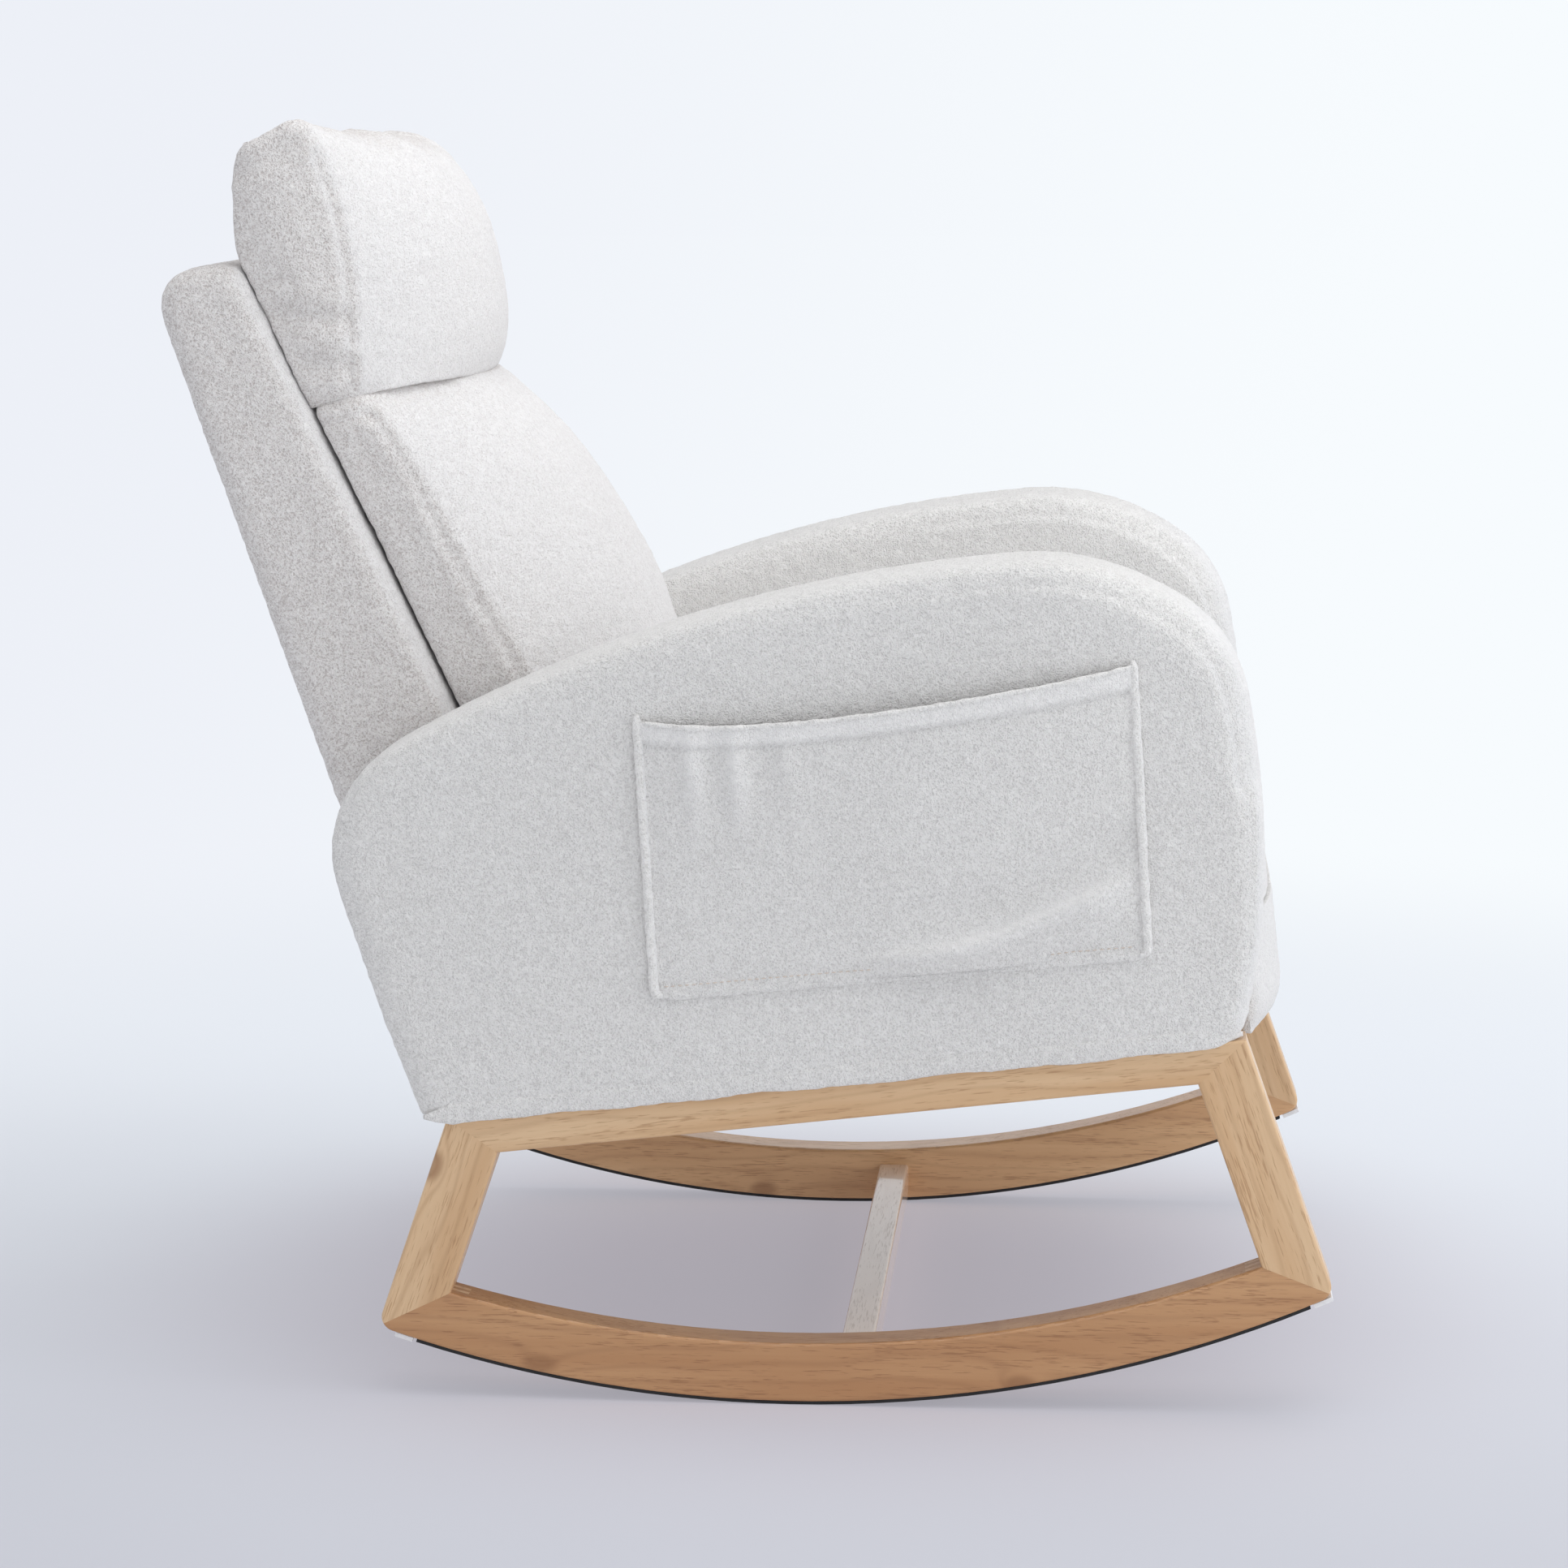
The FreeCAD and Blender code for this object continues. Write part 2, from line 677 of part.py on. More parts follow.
def build_back_cushion():
    half = arm_inner - back_side_gap - cushion_margin
    sizes = []
    for share in STATIONS:
        seam = back_cushion_end + (back_cushion_side - back_cushion_end) * fullness(share)
        crown = seam + back_cushion_crown * end_blend(share)
        width = half - back_cushion_draw * fullness(share)
        height = back_cushion_lift + share * back_cushion_length
        sizes.append((height, width, seat_clearance, seam, crown))
    keep("back_cushion", filled_pad(sizes), BACK)


def build_headrest():
    """The pillow on top of the back cushion: it nods forward and is fullest low down."""
    half = arm_inner - back_side_gap - cushion_margin
    foot = back_cushion_lift + back_cushion_length + headrest_seat
    sizes = []
    for share in STATIONS:
        rear = seat_clearance + headrest_roll * share ** headrest_roll_power
        seam = headrest_side + headrest_nod * share
        swell = fullness((share + headrest_low) / (1 + headrest_low))
        crown = seam + headrest_swell * max(headrest_tip, swell)
        width = half - headrest_draw * fullness(share)
        sizes.append((foot + share * headrest_length, width, rear, seam, crown))
    keep("headrest_pillow", filled_pad(sizes), BACK)


# Back

def back_face(inset=0.0):
    """Side view of the back: a wedge with a level top. An inset one keeps its open foot."""
    front_angle, rear_angle = math.radians(back_lean), math.radians(back_rear_lean)
    front_up = side(math.sin(front_angle), math.cos(front_angle))
    rear_up = side(math.sin(rear_angle), math.cos(rear_angle))
    front_foot = side(back_front_at(0) + inset / math.cos(front_angle), 0)
    rear_foot = side(arm_rear_foot - inset / math.cos(rear_angle), 0)
    top = side(0, back_foot_height + back_length * math.cos(front_angle) - inset)
    front_top = meet(front_foot, front_up, top, REAR)
    rear_top = meet(rear_foot, rear_up, top, REAR)
    reach = (back_crest_round - inset) / math.tan(math.radians(90 - back_rear_lean) / 2)
    crest_front, crest_rear = rear_top - REAR * reach, rear_top - rear_up * reach
    crest = tangent_arc(crest_front, REAR, crest_rear)[0]
    return Part.Face(Part.Wire([
        line(front_foot, front_top),
        line(front_top, crest_front),
        crest,
        line(crest_rear, rear_foot),
        line(rear_foot, front_foot),
    ]))


def build_back():
    half = arm_inner - back_side_gap
    inner = half - back_padding
    between = inner - back_stile_thickness
    heads, mouth_y = back_bolt_heads(), back_bolt_mouth()
    blank = slab(back_face(), -half, half)
    high_edges = [edge for edge in blank.Edges if edge.BoundBox.ZMin > back_foot_height]
    top_front = min(high_edges, key=lambda edge: edge.BoundBox.YMax)
    rounded = [edge for edge in edges_in_side_faces(blank) if edge.BoundBox.ZMax > back_round]
    cover = blank.makeFillet(back_round, rounded + [top_front])
    cover = cover.cut(slab(back_face(back_padding), -inner, inner))
    for head in heads:
        cover = cover.cut(rod(bolt_radius + bolt_clearance, head, REAR, mouth_y - head.y))
    keep("back_cover", cover, BODY)
    foot = blank.common(block(-half, half, -FAR, FAR, 0, dust_cover_thickness))
    foot.translate(UP * -dust_cover_thickness)
    keep("back_dust_cover", foot, BODY)
    core = back_face(back_padding + seat_clearance)
    straps = back_straps(inner)
    stile = slab(core, -inner, -between)
    for strap in straps:
        stile = stile.cut(strap)
    keep_pair("back_stile", stile, BODY)
    keep("back_webbing", group(straps), BODY)
    front = back_padding + seat_clearance + web_thickness
    top_rail_rise = back_length - back_padding - seat_clearance - back_rail_height
    for name, low in (("top", top_rail_rise), ("lumbar", lumbar_rail_rise)):
        rail = block(-between, between, front, front + back_rail_thickness, low, low + back_rail_height)
        keep("back_" + name + "_rail", rail, BACK)
    insert_end = mouth_y + insert_length
    rail = slab(core, -between, between).common(
        block(-half, half, -FAR, insert_end + back_rail_thickness / 2,
              0, back_bolt_rise + back_rail_height / 2))
    for head in heads:
        rail = rail.cut(rod(insert_radius + bolt_clearance / 2, head, REAR, insert_end - head.y))
    keep("back_bottom_rail", rail, BODY)


def back_straps(half):
    """Straps across the back's frame, let into the front edges of its stiles."""
    straps = []
    front = back_padding + seat_clearance
    for count in range(back_webs):
        low = back_web_start + count * back_web_step
        strap = block(-half, half, front, front + web_thickness, low, low + web_width)
        strap.Placement = BODY.inverse() * BACK
        straps.append(strap)
    return straps


# Pockets

def pocket_section(height, half_width, base, swelling):
    """A section across a pocket that lies on a flat face and swells towards -X."""
    a, b = side(-half_width, height), side(half_width, height)
    c, d = side(half_width, height, -base), side(-half_width, height, -base)
    front = arc(c, side(0, height, -base - swelling), d)
    return Part.Wire([line(a, b), line(b, c), front, line(d, a)])


def build_pockets():
    """A panel sewn to the arm along three edges, with its mouth standing open at the top."""
    half_w, half_h = pocket_width / 2, pocket_height / 2
    outer = Part.makeLoft([
        pocket_section(-half_h, half_w, pocket_wall, pocket_foot_swell),
        pocket_section(half_h, half_w, pocket_wall, pocket_mouth_swell),
    ], True)
    room = half_w - pocket_hem
    inner = Part.makeLoft([
        pocket_section(pocket_hem - half_h, room, pocket_backing, pocket_foot_swell),
        pocket_section(half_h, room, pocket_backing, pocket_mouth_swell),
    ], True)
    reach, over = half_w + OVERCUT, half_h + OVERCUT
    left, right = side(-reach, half_h), side(reach, half_h)
    mouth = Part.Face(Part.Wire([
        arc(left, side(0, half_h - pocket_sag), right),
        line(right, side(reach, over)),
        line(side(reach, over), side(-reach, over)),
        line(side(-reach, over), left),
    ]))
    pocket = outer.cut(inner).cut(slab(mouth, -FAR, FAR))
    pocket.Placement = Placement(Vector(-arm_outer, -pocket_front, pocket_rise), Rotation())
    keep_pair("side_pocket", pocket, BODY)


os.makedirs("parts", exist_ok=True)
build_side_frames()
build_stretcher()
build_fasteners()
build_arms()
build_seat_box()
build_apron()
build_seat_cushion()
build_back()
build_back_cushion()
build_headrest()
build_pockets()
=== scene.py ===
import math

import bmesh
import bpy
import numpy as np
from mathutils import Matrix, Vector, noise
from mathutils.bvhtree import BVHTree
from mathutils.kdtree import KDTree


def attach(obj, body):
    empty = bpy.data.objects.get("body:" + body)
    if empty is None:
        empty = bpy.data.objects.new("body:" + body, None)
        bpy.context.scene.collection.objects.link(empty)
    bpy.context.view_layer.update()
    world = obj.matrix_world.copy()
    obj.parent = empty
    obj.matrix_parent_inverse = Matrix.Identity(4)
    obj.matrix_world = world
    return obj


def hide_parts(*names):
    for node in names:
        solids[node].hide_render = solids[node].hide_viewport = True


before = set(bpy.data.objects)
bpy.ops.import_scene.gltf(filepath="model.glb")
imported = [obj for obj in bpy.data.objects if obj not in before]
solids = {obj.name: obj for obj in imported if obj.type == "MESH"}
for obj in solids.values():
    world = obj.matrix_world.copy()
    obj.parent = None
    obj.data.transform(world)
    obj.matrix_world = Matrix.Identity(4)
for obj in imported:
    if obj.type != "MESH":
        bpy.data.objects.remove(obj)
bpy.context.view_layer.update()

# An upholstered rocking chair, dressed. Metres. X runs across the chair, the front faces -Y.

MM = 0.001
RAIL_TILT = math.radians(6.7)
BACK_LEAN = math.radians(18.6)
RAIL_PLANE = Matrix.Translation((0, 0, 0.26122)) @ Matrix.Rotation(-RAIL_TILT, 4, "X")
BACK_PLANE = RAIL_PLANE @ Matrix.Translation((0, 0.185, 0.128)) @ Matrix.Rotation(-BACK_LEAN, 4, "X")
ARM_FACE = 0.344              # outer face of the arms
BACK_HALF = 0.230             # half of the back's width
FILLING = 0.35                # share of the cloth run's result in a pad's shape, the rest being its cut
RUN_FRAMES = 20               # length of a cloth run
CUT_SHARE = 0.6               # share of the cap by which a cover is cut fuller than it starts
PILE_GRAIN = 0.006            # cell of the sewn skins before their last division
LOOP, TUFT = 0.0062, 0.013    # fine and coarse unevenness of the pile


# Meshes

def into(plane, points):
    """Places as they lie on a plane of the chair."""
    turn = np.array(plane.inverted())
    return points @ turn[:3, :3].T + turn[:3, 3]


def out_of(plane, points):
    turn = np.array(plane)
    return points @ turn[:3, :3].T + turn[:3, 3]


def points_of(piece):
    flat = np.empty(len(piece.data.vertices) * 3)
    piece.data.vertices.foreach_get("co", flat)
    return flat.reshape(-1, 3)


def outward(piece):
    """The direction that the skin faces at each of its points."""
    flat = np.empty(len(piece.data.vertices) * 3)
    piece.data.vertex_normals.foreach_get("vector", flat)
    return flat.reshape(-1, 3)


def move_to(piece, points):
    piece.data.vertices.foreach_set("co", points.ravel())
    piece.data.update()


def placed(name, data):
    """A thing of the scene made of a mesh, a lamp or a lens."""
    thing = bpy.data.objects.new(name, data)
    bpy.context.scene.collection.objects.link(thing)
    return thing


def new_piece(name, points, faces):
    mesh = bpy.data.meshes.new(name)
    mesh.from_pydata([tuple(point) for point in points], [], faces)
    made = bmesh.new()
    made.from_mesh(mesh)
    bmesh.ops.recalc_face_normals(made, faces=made.faces[:])
    made.to_mesh(mesh)
    made.free()
    return placed(name, mesh)


def keep_result(piece):
    """Makes what the modifiers give the piece's own mesh."""
    graph = bpy.context.evaluated_depsgraph_get()
    made = bpy.data.meshes.new_from_object(piece.evaluated_get(graph), depsgraph=graph)
    piece.modifiers.clear()
    old = piece.data
    piece.data = made
    bpy.data.meshes.remove(old)
    made.name = piece.name


def worked(piece, kind, **settings):
    step = piece.modifiers.new(kind.lower(), kind)
    for key, value in settings.items():
        setattr(step, key, value)
    keep_result(piece)


def smooth_shading(piece):
    piece.data.polygons.foreach_set("use_smooth", [True] * len(piece.data.polygons))
    piece.data.update()


def hull_of(node, name):
    """The form that a padded frame's cover has from outside."""
    made = bmesh.new()
    made.from_mesh(solids[node].data)
    result = bmesh.ops.convex_hull(made, input=made.verts[:])
    unused = [item for item in result["geom_interior"] + result["geom_unused"]
              if isinstance(item, bmesh.types.BMVert)]
    bmesh.ops.delete(made, geom=unused, context="VERTS")
    loose = [face for face in result["geom_holes"]
             if isinstance(face, bmesh.types.BMFace) and face.is_valid]
    bmesh.ops.delete(made, geom=loose, context="FACES_ONLY")
    mesh = bpy.data.meshes.new(name)
    made.to_mesh(mesh)
    made.free()
    return placed(name, mesh)


def loft(name, plane, *tubes):
    """Closed skins, each through rings of as many points."""
    points, faces, base = [], [], 0
    for rings in tubes:
        rings = np.array(rings)
        count, around = rings.shape[:2]
        points.append(rings.reshape(-1, 3))
        for a in range(count - 1):
            low, high = base + a * around, base + (a + 1) * around
            for b in range(around):
                c = (b + 1) % around
                faces.append((low + b, low + c, high + c, high + b))
        faces.append(tuple(range(base, base + around)))
        base += count * around
        faces.append(tuple(range(base - around, base)))
    piece = new_piece(name, out_of(plane, np.vstack(points)), faces)
    smooth_shading(piece)
    return piece


def net(across, down):
    """The faces of a net of points, row by row."""
    firsts = [a * down + b for a in range(across - 1) for b in range(down - 1)]
    return [(i, i + 1, i + down + 1, i + down) for i in firsts]


def bulged(value, power):
    """A sine or cosine broadened at its ends, which squares a round section off."""
    return math.copysign(abs(value) ** power, value)


def remeshed(piece, cell=PILE_GRAIN):
    worked(piece, "REMESH", mode="VOXEL", voxel_size=cell, use_smooth_shade=True)


def relaxed(piece, turns, share=0.5):
    worked(piece, "SMOOTH", iterations=turns, factor=share)


def divided(piece):
    worked(piece, "SUBSURF", levels=1, render_levels=1)
    smooth_shading(piece)


def puffed(piece, cap, pressure=4.0):
    """Fills a sewn cover: a short cloth run under inner pressure, each point moving by the cap at most."""
    start = points_of(piece)
    cut = start + outward(piece) * cap * CUT_SHARE
    filling = piece.modifiers.new("filling", "CLOTH")
    filling.settings.quality = 5
    filling.settings.use_pressure = True
    filling.settings.uniform_pressure_force = pressure
    filling.settings.effector_weights.gravity = 0
    filling.point_cache.frame_end = RUN_FRAMES
    for count in range(1, RUN_FRAMES + 1):
        bpy.context.scene.frame_set(count)
    keep_result(piece)
    bpy.context.scene.frame_set(1)
    moved = points_of(piece) - start
    reach = np.linalg.norm(moved, axis=1, keepdims=True)
    moved *= np.minimum(1, cap / np.maximum(reach, 1e-9))
    move_to(piece, cut + (start + moved - cut) * FILLING)


# Lines and swellings on a skin

def through(marks, count=160):
    """A smooth line of places through a few marks."""
    marks = np.array(marks, float)
    ahead = np.vstack([2 * marks[0] - marks[1], marks, 2 * marks[-1] - marks[-2]])
    places = []
    for t in np.linspace(0, len(marks) - 1 - 1e-9, count):
        i = int(t)
        f = t - i
        a, b, c, d = ahead[i:i + 4]
        bend = 2 * a - 5 * b + 4 * c - d + f * (3 * (b - c) + d - a)
        places.append(b + 0.5 * f * (c - a + f * bend))
    return np.array(places)


def curve(marks):
    """A size that changes along a piece, given by marks of place and size in millimetres."""
    marks = np.array(marks, float)
    line = through(marks, 400)
    return lambda at: np.interp(at, line[:, 0], line[:, 1])


def spaced(line, pitch=2.4, count=None):
    """The same line with its places evenly apart."""
    along = np.concatenate([[0], np.cumsum(np.linalg.norm(np.diff(line, axis=0), axis=1))])
    stations = np.linspace(0, along[-1], count or int(along[-1] / pitch))
    return np.stack([np.interp(stations, along, part) for part in line.T], 1)


def laid_on(piece, line):
    """The line moved onto the piece's skin."""
    tree = BVHTree.FromObject(piece, bpy.context.evaluated_depsgraph_get())
    return np.array([tree.find_nearest(Vector(place))[0] for place in line])


def gap_to(points, line, reach):
    """How far each point is from a line of places, where that is less than the reach."""
    tree = KDTree(len(line))
    for count, place in enumerate(line):
        tree.insert(place, count)
    tree.balance()
    gap = np.full(len(points), 9.0)
    low, high = line.min(0) - reach, line.max(0) + reach
    for count in np.flatnonzero(((points > low) & (points < high)).all(1)):
        gap[count] = tree.find(points[count])[2]
    return gap


def bell(gap, width):
    return np.exp(-(gap / width) ** 2)


def step(value, low, high):
    """From nothing at one value to one at the other, smoothly."""
    share = np.clip((value - low) / (high - low), 0, 1)
    return share * share * (3 - 2 * share)


def ripple(points, cell, seed):
    """Soft unevenness between -1 and 1, its cells of a given size."""
    places = points / cell + seed * 17.3
    return np.array([noise.noise(place) for place in places])


def sewn(piece, line, depth, width, swell=0.0, pucker=0.0, seed=1):
    """A seam: the skin drawn in along a line, swelling on both sides of it."""
    line = laid_on(piece, line)
    points, facing = points_of(piece), outward(piece)
    reach = width * 5
    gap = gap_to(points, line, reach)
    close = np.flatnonzero(gap < reach)
    here = gap[close]
    shift = -depth * bell(here, width)
    shift += swell * bell(here - width * 2.2, width * 1.2)
    if pucker:
        shift += pucker * ripple(points[close], 0.014, seed) * bell(here, width * 2.5)
    points[close] += facing[close] * shift[:, None]
    move_to(piece, points)


def creased(piece, line, depth, width):
    sewn(piece, line, depth, width, swell=depth * 0.5)


def napped(piece, height=0.0009, seed=1):
    """The uneven pile of the bouclé, which also roughens its outline."""
    points, facing = points_of(piece), outward(piece)
    rise = 0.65 * ripple(points, LOOP, seed) + 0.45 * ripple(points, TUFT, seed + 3)
    move_to(piece, points + facing * (height * rise)[:, None])


def kept(piece, slot, *nodes):
    """The piece rides on the chair and stands for its solids, which are hidden. The slot is not used."""
    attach(piece, "root")
    if nodes:
        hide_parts(*nodes)
    return piece


def finished(piece, finish):
    piece.data.materials.clear()
    piece.data.materials.append(finish)


# Finishes

def tone(red, green, blue):
    """A colour written as it shows, from 0 to 255."""
    parts = []
    for part in (red, green, blue):
        part /= 255
        parts.append(part / 12.92 if part <= 0.04045 else ((part + 0.055) / 1.055) ** 2.4)
    return (*parts, 1.0)


class Strand:
    """One value, colour or vector of a finish. Sums written with it add nodes to the finish."""

    def __init__(self, tree, socket=None):
        self.tree = tree
        self.socket = socket

    def node(self, kind, settings, sockets, out=0):
        """A node: its settings are made first, then its sockets are filled or linked."""
        made = self.tree.nodes.new(kind)
        for key, value in settings.items():
            if key == "stops":
                ramp = made.color_ramp.elements
                ramp[0].position, ramp[0].color = value[0]
                ramp[1].position, ramp[1].color = value[-1]
                for place, colour in value[1:-1]:
                    ramp.new(place).color = colour
            else:
                setattr(made, key, value)
        for key, value in sockets.items():
            if isinstance(value, Strand):
                self.tree.links.new(value.socket, made.inputs[key])
            else:
                made.inputs[key].default_value = value
        return Strand(self.tree, made.outputs[out])

    def sum(self, operation, first, second=0.0):
        return self.node("ShaderNodeMath", {"operation": operation}, {0: first, 1: second})

    def __add__(self, other):
        return self.sum("ADD", self, other)

    def __sub__(self, other):
        return self.sum("SUBTRACT", self, other)

    def __mul__(self, other):
        return self.sum("MULTIPLY", self, other)

    def __truediv__(self, other):
        return self.sum("DIVIDE", self, other)

    def __pow__(self, other):
        return self.sum("POWER", self, other)

    def __radd__(self, other):
        return self.sum("ADD", other, self)

    def __rsub__(self, other):
        return self.sum("SUBTRACT", other, self)

    def __rmul__(self, other):
        return self.sum("MULTIPLY", other, self)

    def __rtruediv__(self, other):
        return self.sum("DIVIDE", other, self)

    def between(self, low, high):
        """Nothing below low, one above high, smooth in between."""
        return self.node("ShaderNodeMapRange", {"interpolation_type": "SMOOTHSTEP"},
                         {"Value": self, "From Min": low, "From Max": high})

    def sine(self):
        return self.sum("SINE", self)

    def size(self):
        return self.sum("ABSOLUTE", self)

    def part(self, axis):
        return self.node("ShaderNodeSeparateXYZ", {}, {0: self}, axis)

    def mixed(self, first, second):
        """Two colours mixed by this value."""
        return self.node("ShaderNodeMix", {"data_type": "RGBA"}, {0: self, 6: first, 7: second}, 2)

    def stretched(self, scale):
        return self.node("ShaderNodeVectorMath", {"operation": "MULTIPLY"}, {0: self, 1: scale})

    def shifted(self, by):
        return self.node("ShaderNodeVectorMath", {"operation": "ADD"}, {0: self, 1: by})

    def length(self):
        return self.node("ShaderNodeVectorMath", {"operation": "LENGTH"}, {0: self}, "Value")

    def clouds(self, scale, detail=2.0, rough=0.5, out="Fac"):
        """Soft uneven patches over this place."""
        return self.node("ShaderNodeTexNoise", {},
                         {"Vector": self, "Scale": scale, "Detail": detail, "Roughness": rough}, out)

    def cells(self, scale, feature="F1", out="Distance", **sockets):
        sockets.update({"Vector": self, "Scale": scale})
        return self.node("ShaderNodeTexVoronoi", {"feature": feature}, sockets, out)

    def relief(self, strength, distance):
        """This value as a height on the surface."""
        return self.node("ShaderNodeBump", {}, {"Strength": strength, "Distance": distance, "Height": self})


def new_finish(name, **sockets):
    """A finish with one shader, and the strand of places on the object that its pattern follows."""
    finish = bpy.data.materials.new(name)
    finish.use_nodes = True
    shader = finish.node_tree.nodes["Principled BSDF"]
    for key, value in sockets.items():
        shader.inputs[key.replace("_", " ")].default_value = value
    strand = Strand(finish.node_tree)
    place = strand.node("ShaderNodeTexCoord", {}, {}, "Object")
    return finish, shader, place


def show(finish, shader, **strands):
    for key, strand in strands.items():
        finish.node_tree.links.new(strand.socket, shader.inputs[key.replace("_", " ")])


def boucle_finish(name, light, shade):
    """Looped pile of a teddy cloth: short winding curls with darker hollows between them."""
    finish, shader, place = new_finish(name, Specular_IOR_Level=0.12, Sheen_Weight=0.2, Sheen_Roughness=0.6)
    drift = place.clouds(170, 2, out="Color").shifted((-0.5, -0.5, -0.5)).stretched((0.0035,) * 3)
    lay = place.node("ShaderNodeVectorMath", {"operation": "ADD"}, {0: place, 1: drift})
    curls = 1 - (lay.clouds(470, 1.0) * 2 - 1).size() * 2.4
    knots = 1 - lay.cells(340, "SMOOTH_F1", Smoothness=0.4)
    fine = lay.clouds(1100, 2, 0.6)
    tufts = lay.clouds(110, 2)
    height = curls * 0.55 + knots * 0.4 + fine * 0.3 + tufts * 0.5
    worn = place.clouds(9, 2)
    bright = (curls * 0.5 + knots * 0.3 + fine * 0.3 + tufts * 0.25 + worn * 0.12).between(0.35, 1.15)
    # Faces that look forward get their colour evened out towards a flat neutral mid tone: painted light,
    # the pile as if washed out by the front light. Their relief is lowered too.
    lit_front = (place.node("ShaderNodeNewGeometry", {}, {}, "Normal").part("Y") * -1).between(0.2, 0.75)
    tint = (lit_front * 0.55).mixed(bright.mixed(shade, light), tone(225, 225, 226))
    # Where a piece carries this attribute its colour turns near white: a paler hem band, and painted
    # highlights on the pocket's folds.
    raised = place.node("ShaderNodeAttribute", {"attribute_name": "raised"}, {}, "Fac")
    tint = raised.mixed(tint, tone(252, 251, 250))
    show(finish, shader, Base_Color=tint, Roughness=0.82 + fine * 0.15,
         Normal=(height * (1 - lit_front * 0.4)).relief(0.6, 0.0022))
    return finish


def along_axis(axis, along, across):
    scale = [across] * 3
    scale[axis] = along
    return tuple(scale)


def bar_wood(name, turn, axis, pale, warm, dark, knots=(), seed=0.0, lines=0.22, lacquer=(0.3, 0.25)):
    """Clear-lacquered timber whose grain follows a bar: bands, growth lines, short pores and knots."""
    finish, shader, place = new_finish(name, Specular_IOR_Level=0.5, Coat_Weight=lacquer[0],
                                       Coat_Roughness=lacquer[1])
    level = place.node("ShaderNodeVectorRotate", {"rotation_type": "X_AXIS"},
                       {"Vector": place, "Angle": turn})
    level = level.shifted((seed, seed * 0.7, seed * 0.3))
    bands = level.stretched(along_axis(axis, 2.2, 34)).clouds(1, 3, 0.55)
    slow = level.stretched(along_axis(axis, 3.5, 15)).clouds(1, 2, 0.5)
    bend = slow * 26
    heart = None
    for place_y, place_z, size in knots:
        y = place_y * math.cos(turn) - place_z * math.sin(turn) + seed * 0.7
        z = place_y * math.sin(turn) + place_z * math.cos(turn) + seed * 0.3
        away = level.shifted((-seed, -y, -z)).stretched(along_axis(axis, 0.55 / size, 1 / size))
        away = away.stretched((0, 1, 1)).length()
        near = 1 / (1 + away * away)
        bend = bend + near * 9
        core = 1 - away.between(0.35, 1.0)
        heart = core if heart is None else heart + core
    across = level.part("Z" if axis != 2 else "Y")
    growth = ((across * 420 + bend).sine() * 0.5 + 0.5) ** 5
    flecks = level.stretched(along_axis(axis, 55, 950)).clouds(1, 2, 0.5)
    dense = level.stretched(along_axis(axis, 9, 70)).clouds(1, 2, 0.5)
    pores = (flecks + dense * 0.35).between(0.74, 0.86)
    fibre = level.stretched(along_axis(axis, 14, 420)).clouds(1, 3, 0.6)
    tint = bands.between(0.3, 0.72).mixed(pale, warm)
    tint = (fibre.between(0.35, 0.75) * 0.3).mixed(tint, warm)
    tint = (growth * lines).mixed(tint, dark)
    tint = (pores * 0.55).mixed(tint, dark)
    if heart is not None:
        tint = (heart * 0.6).mixed(tint, tone(142, 96, 58))
    show(finish, shader, Base_Color=tint, Roughness=0.30 + fibre * 0.16 + pores * 0.15,
         Normal=(1 - pores * 0.8 + fibre * 0.3).relief(0.25, 0.0003))
    return finish


def plain_finish(name, first, second, scale, rough, relief, height, **sockets):
    """A moulded, rolled or plated surface with a faint unevenness of its own."""
    finish, shader, place = new_finish(name, **sockets)
    patches = place.clouds(scale, 3, 0.6)
    specks = place.clouds(scale * 7, 2, 0.5)
    show(finish, shader, Base_Color=(patches * 0.7 + specks * 0.3).between(0.3, 0.7).mixed(first, second),
         Roughness=rough + patches * 0.15, Normal=(patches * 0.4 + specks * 0.6).relief(relief, height))
    return finish


def woven_finish(name, first, second, pitch):
    """Flat woven strap or spunbond cloth: two sets of threads."""
    finish, shader, place = new_finish(name, Specular_IOR_Level=0.2)
    warp = (place.part("X") * (2 * math.pi / pitch)).sine()
    weft = (place.part("Y") * (2 * math.pi / pitch)).sine()
    weave = warp * weft * 0.5 + 0.5
    dust = place.clouds(60, 3)
    show(finish, shader, Base_Color=(weave * 0.7 + dust * 0.3).mixed(first, second),
         Roughness=0.8 + dust * 0.15, Normal=weave.relief(0.5, 0.0006))
    return finish


boucle = boucle_finish("boucle", tone(242, 241, 239), tone(217, 215, 213))
# A copy of the bouclé with darker, warmer hollows for the back, cushion and pillow: painted shade, for the
# shade these pieces stand in.
boucle_back_shaded = boucle_finish("boucle_back_shaded", tone(242, 240, 238), tone(203, 196, 193))
boucle_edge = boucle_finish("boucle_edge", tone(248, 247, 245), tone(228, 226, 223))
PALE, WARM, DARK = tone(223, 190, 150), tone(208, 168, 124), tone(168, 124, 83)
wood_front_post = bar_wood("wood_front_post", math.radians(19.6), 2, PALE, WARM, DARK, seed=0.31)
wood_rear_post = bar_wood("wood_rear_post", math.radians(-18.7), 2, PALE, WARM, DARK,
                          [(0.2819, 0.1901, 0.010)], seed=0.07, lines=0.3)
wood_top_rail = bar_wood("wood_top_rail", RAIL_TILT, 1, PALE, WARM, DARK, seed=0.53)
wood_runner = bar_wood("wood_runner", 0.0, 1, tone(198, 152, 107), tone(181, 132, 88), tone(142, 96, 60),
                       [(0.1988, 0.0298, 0.011), (-0.1843, 0.0218, 0.010)], seed=0.19)
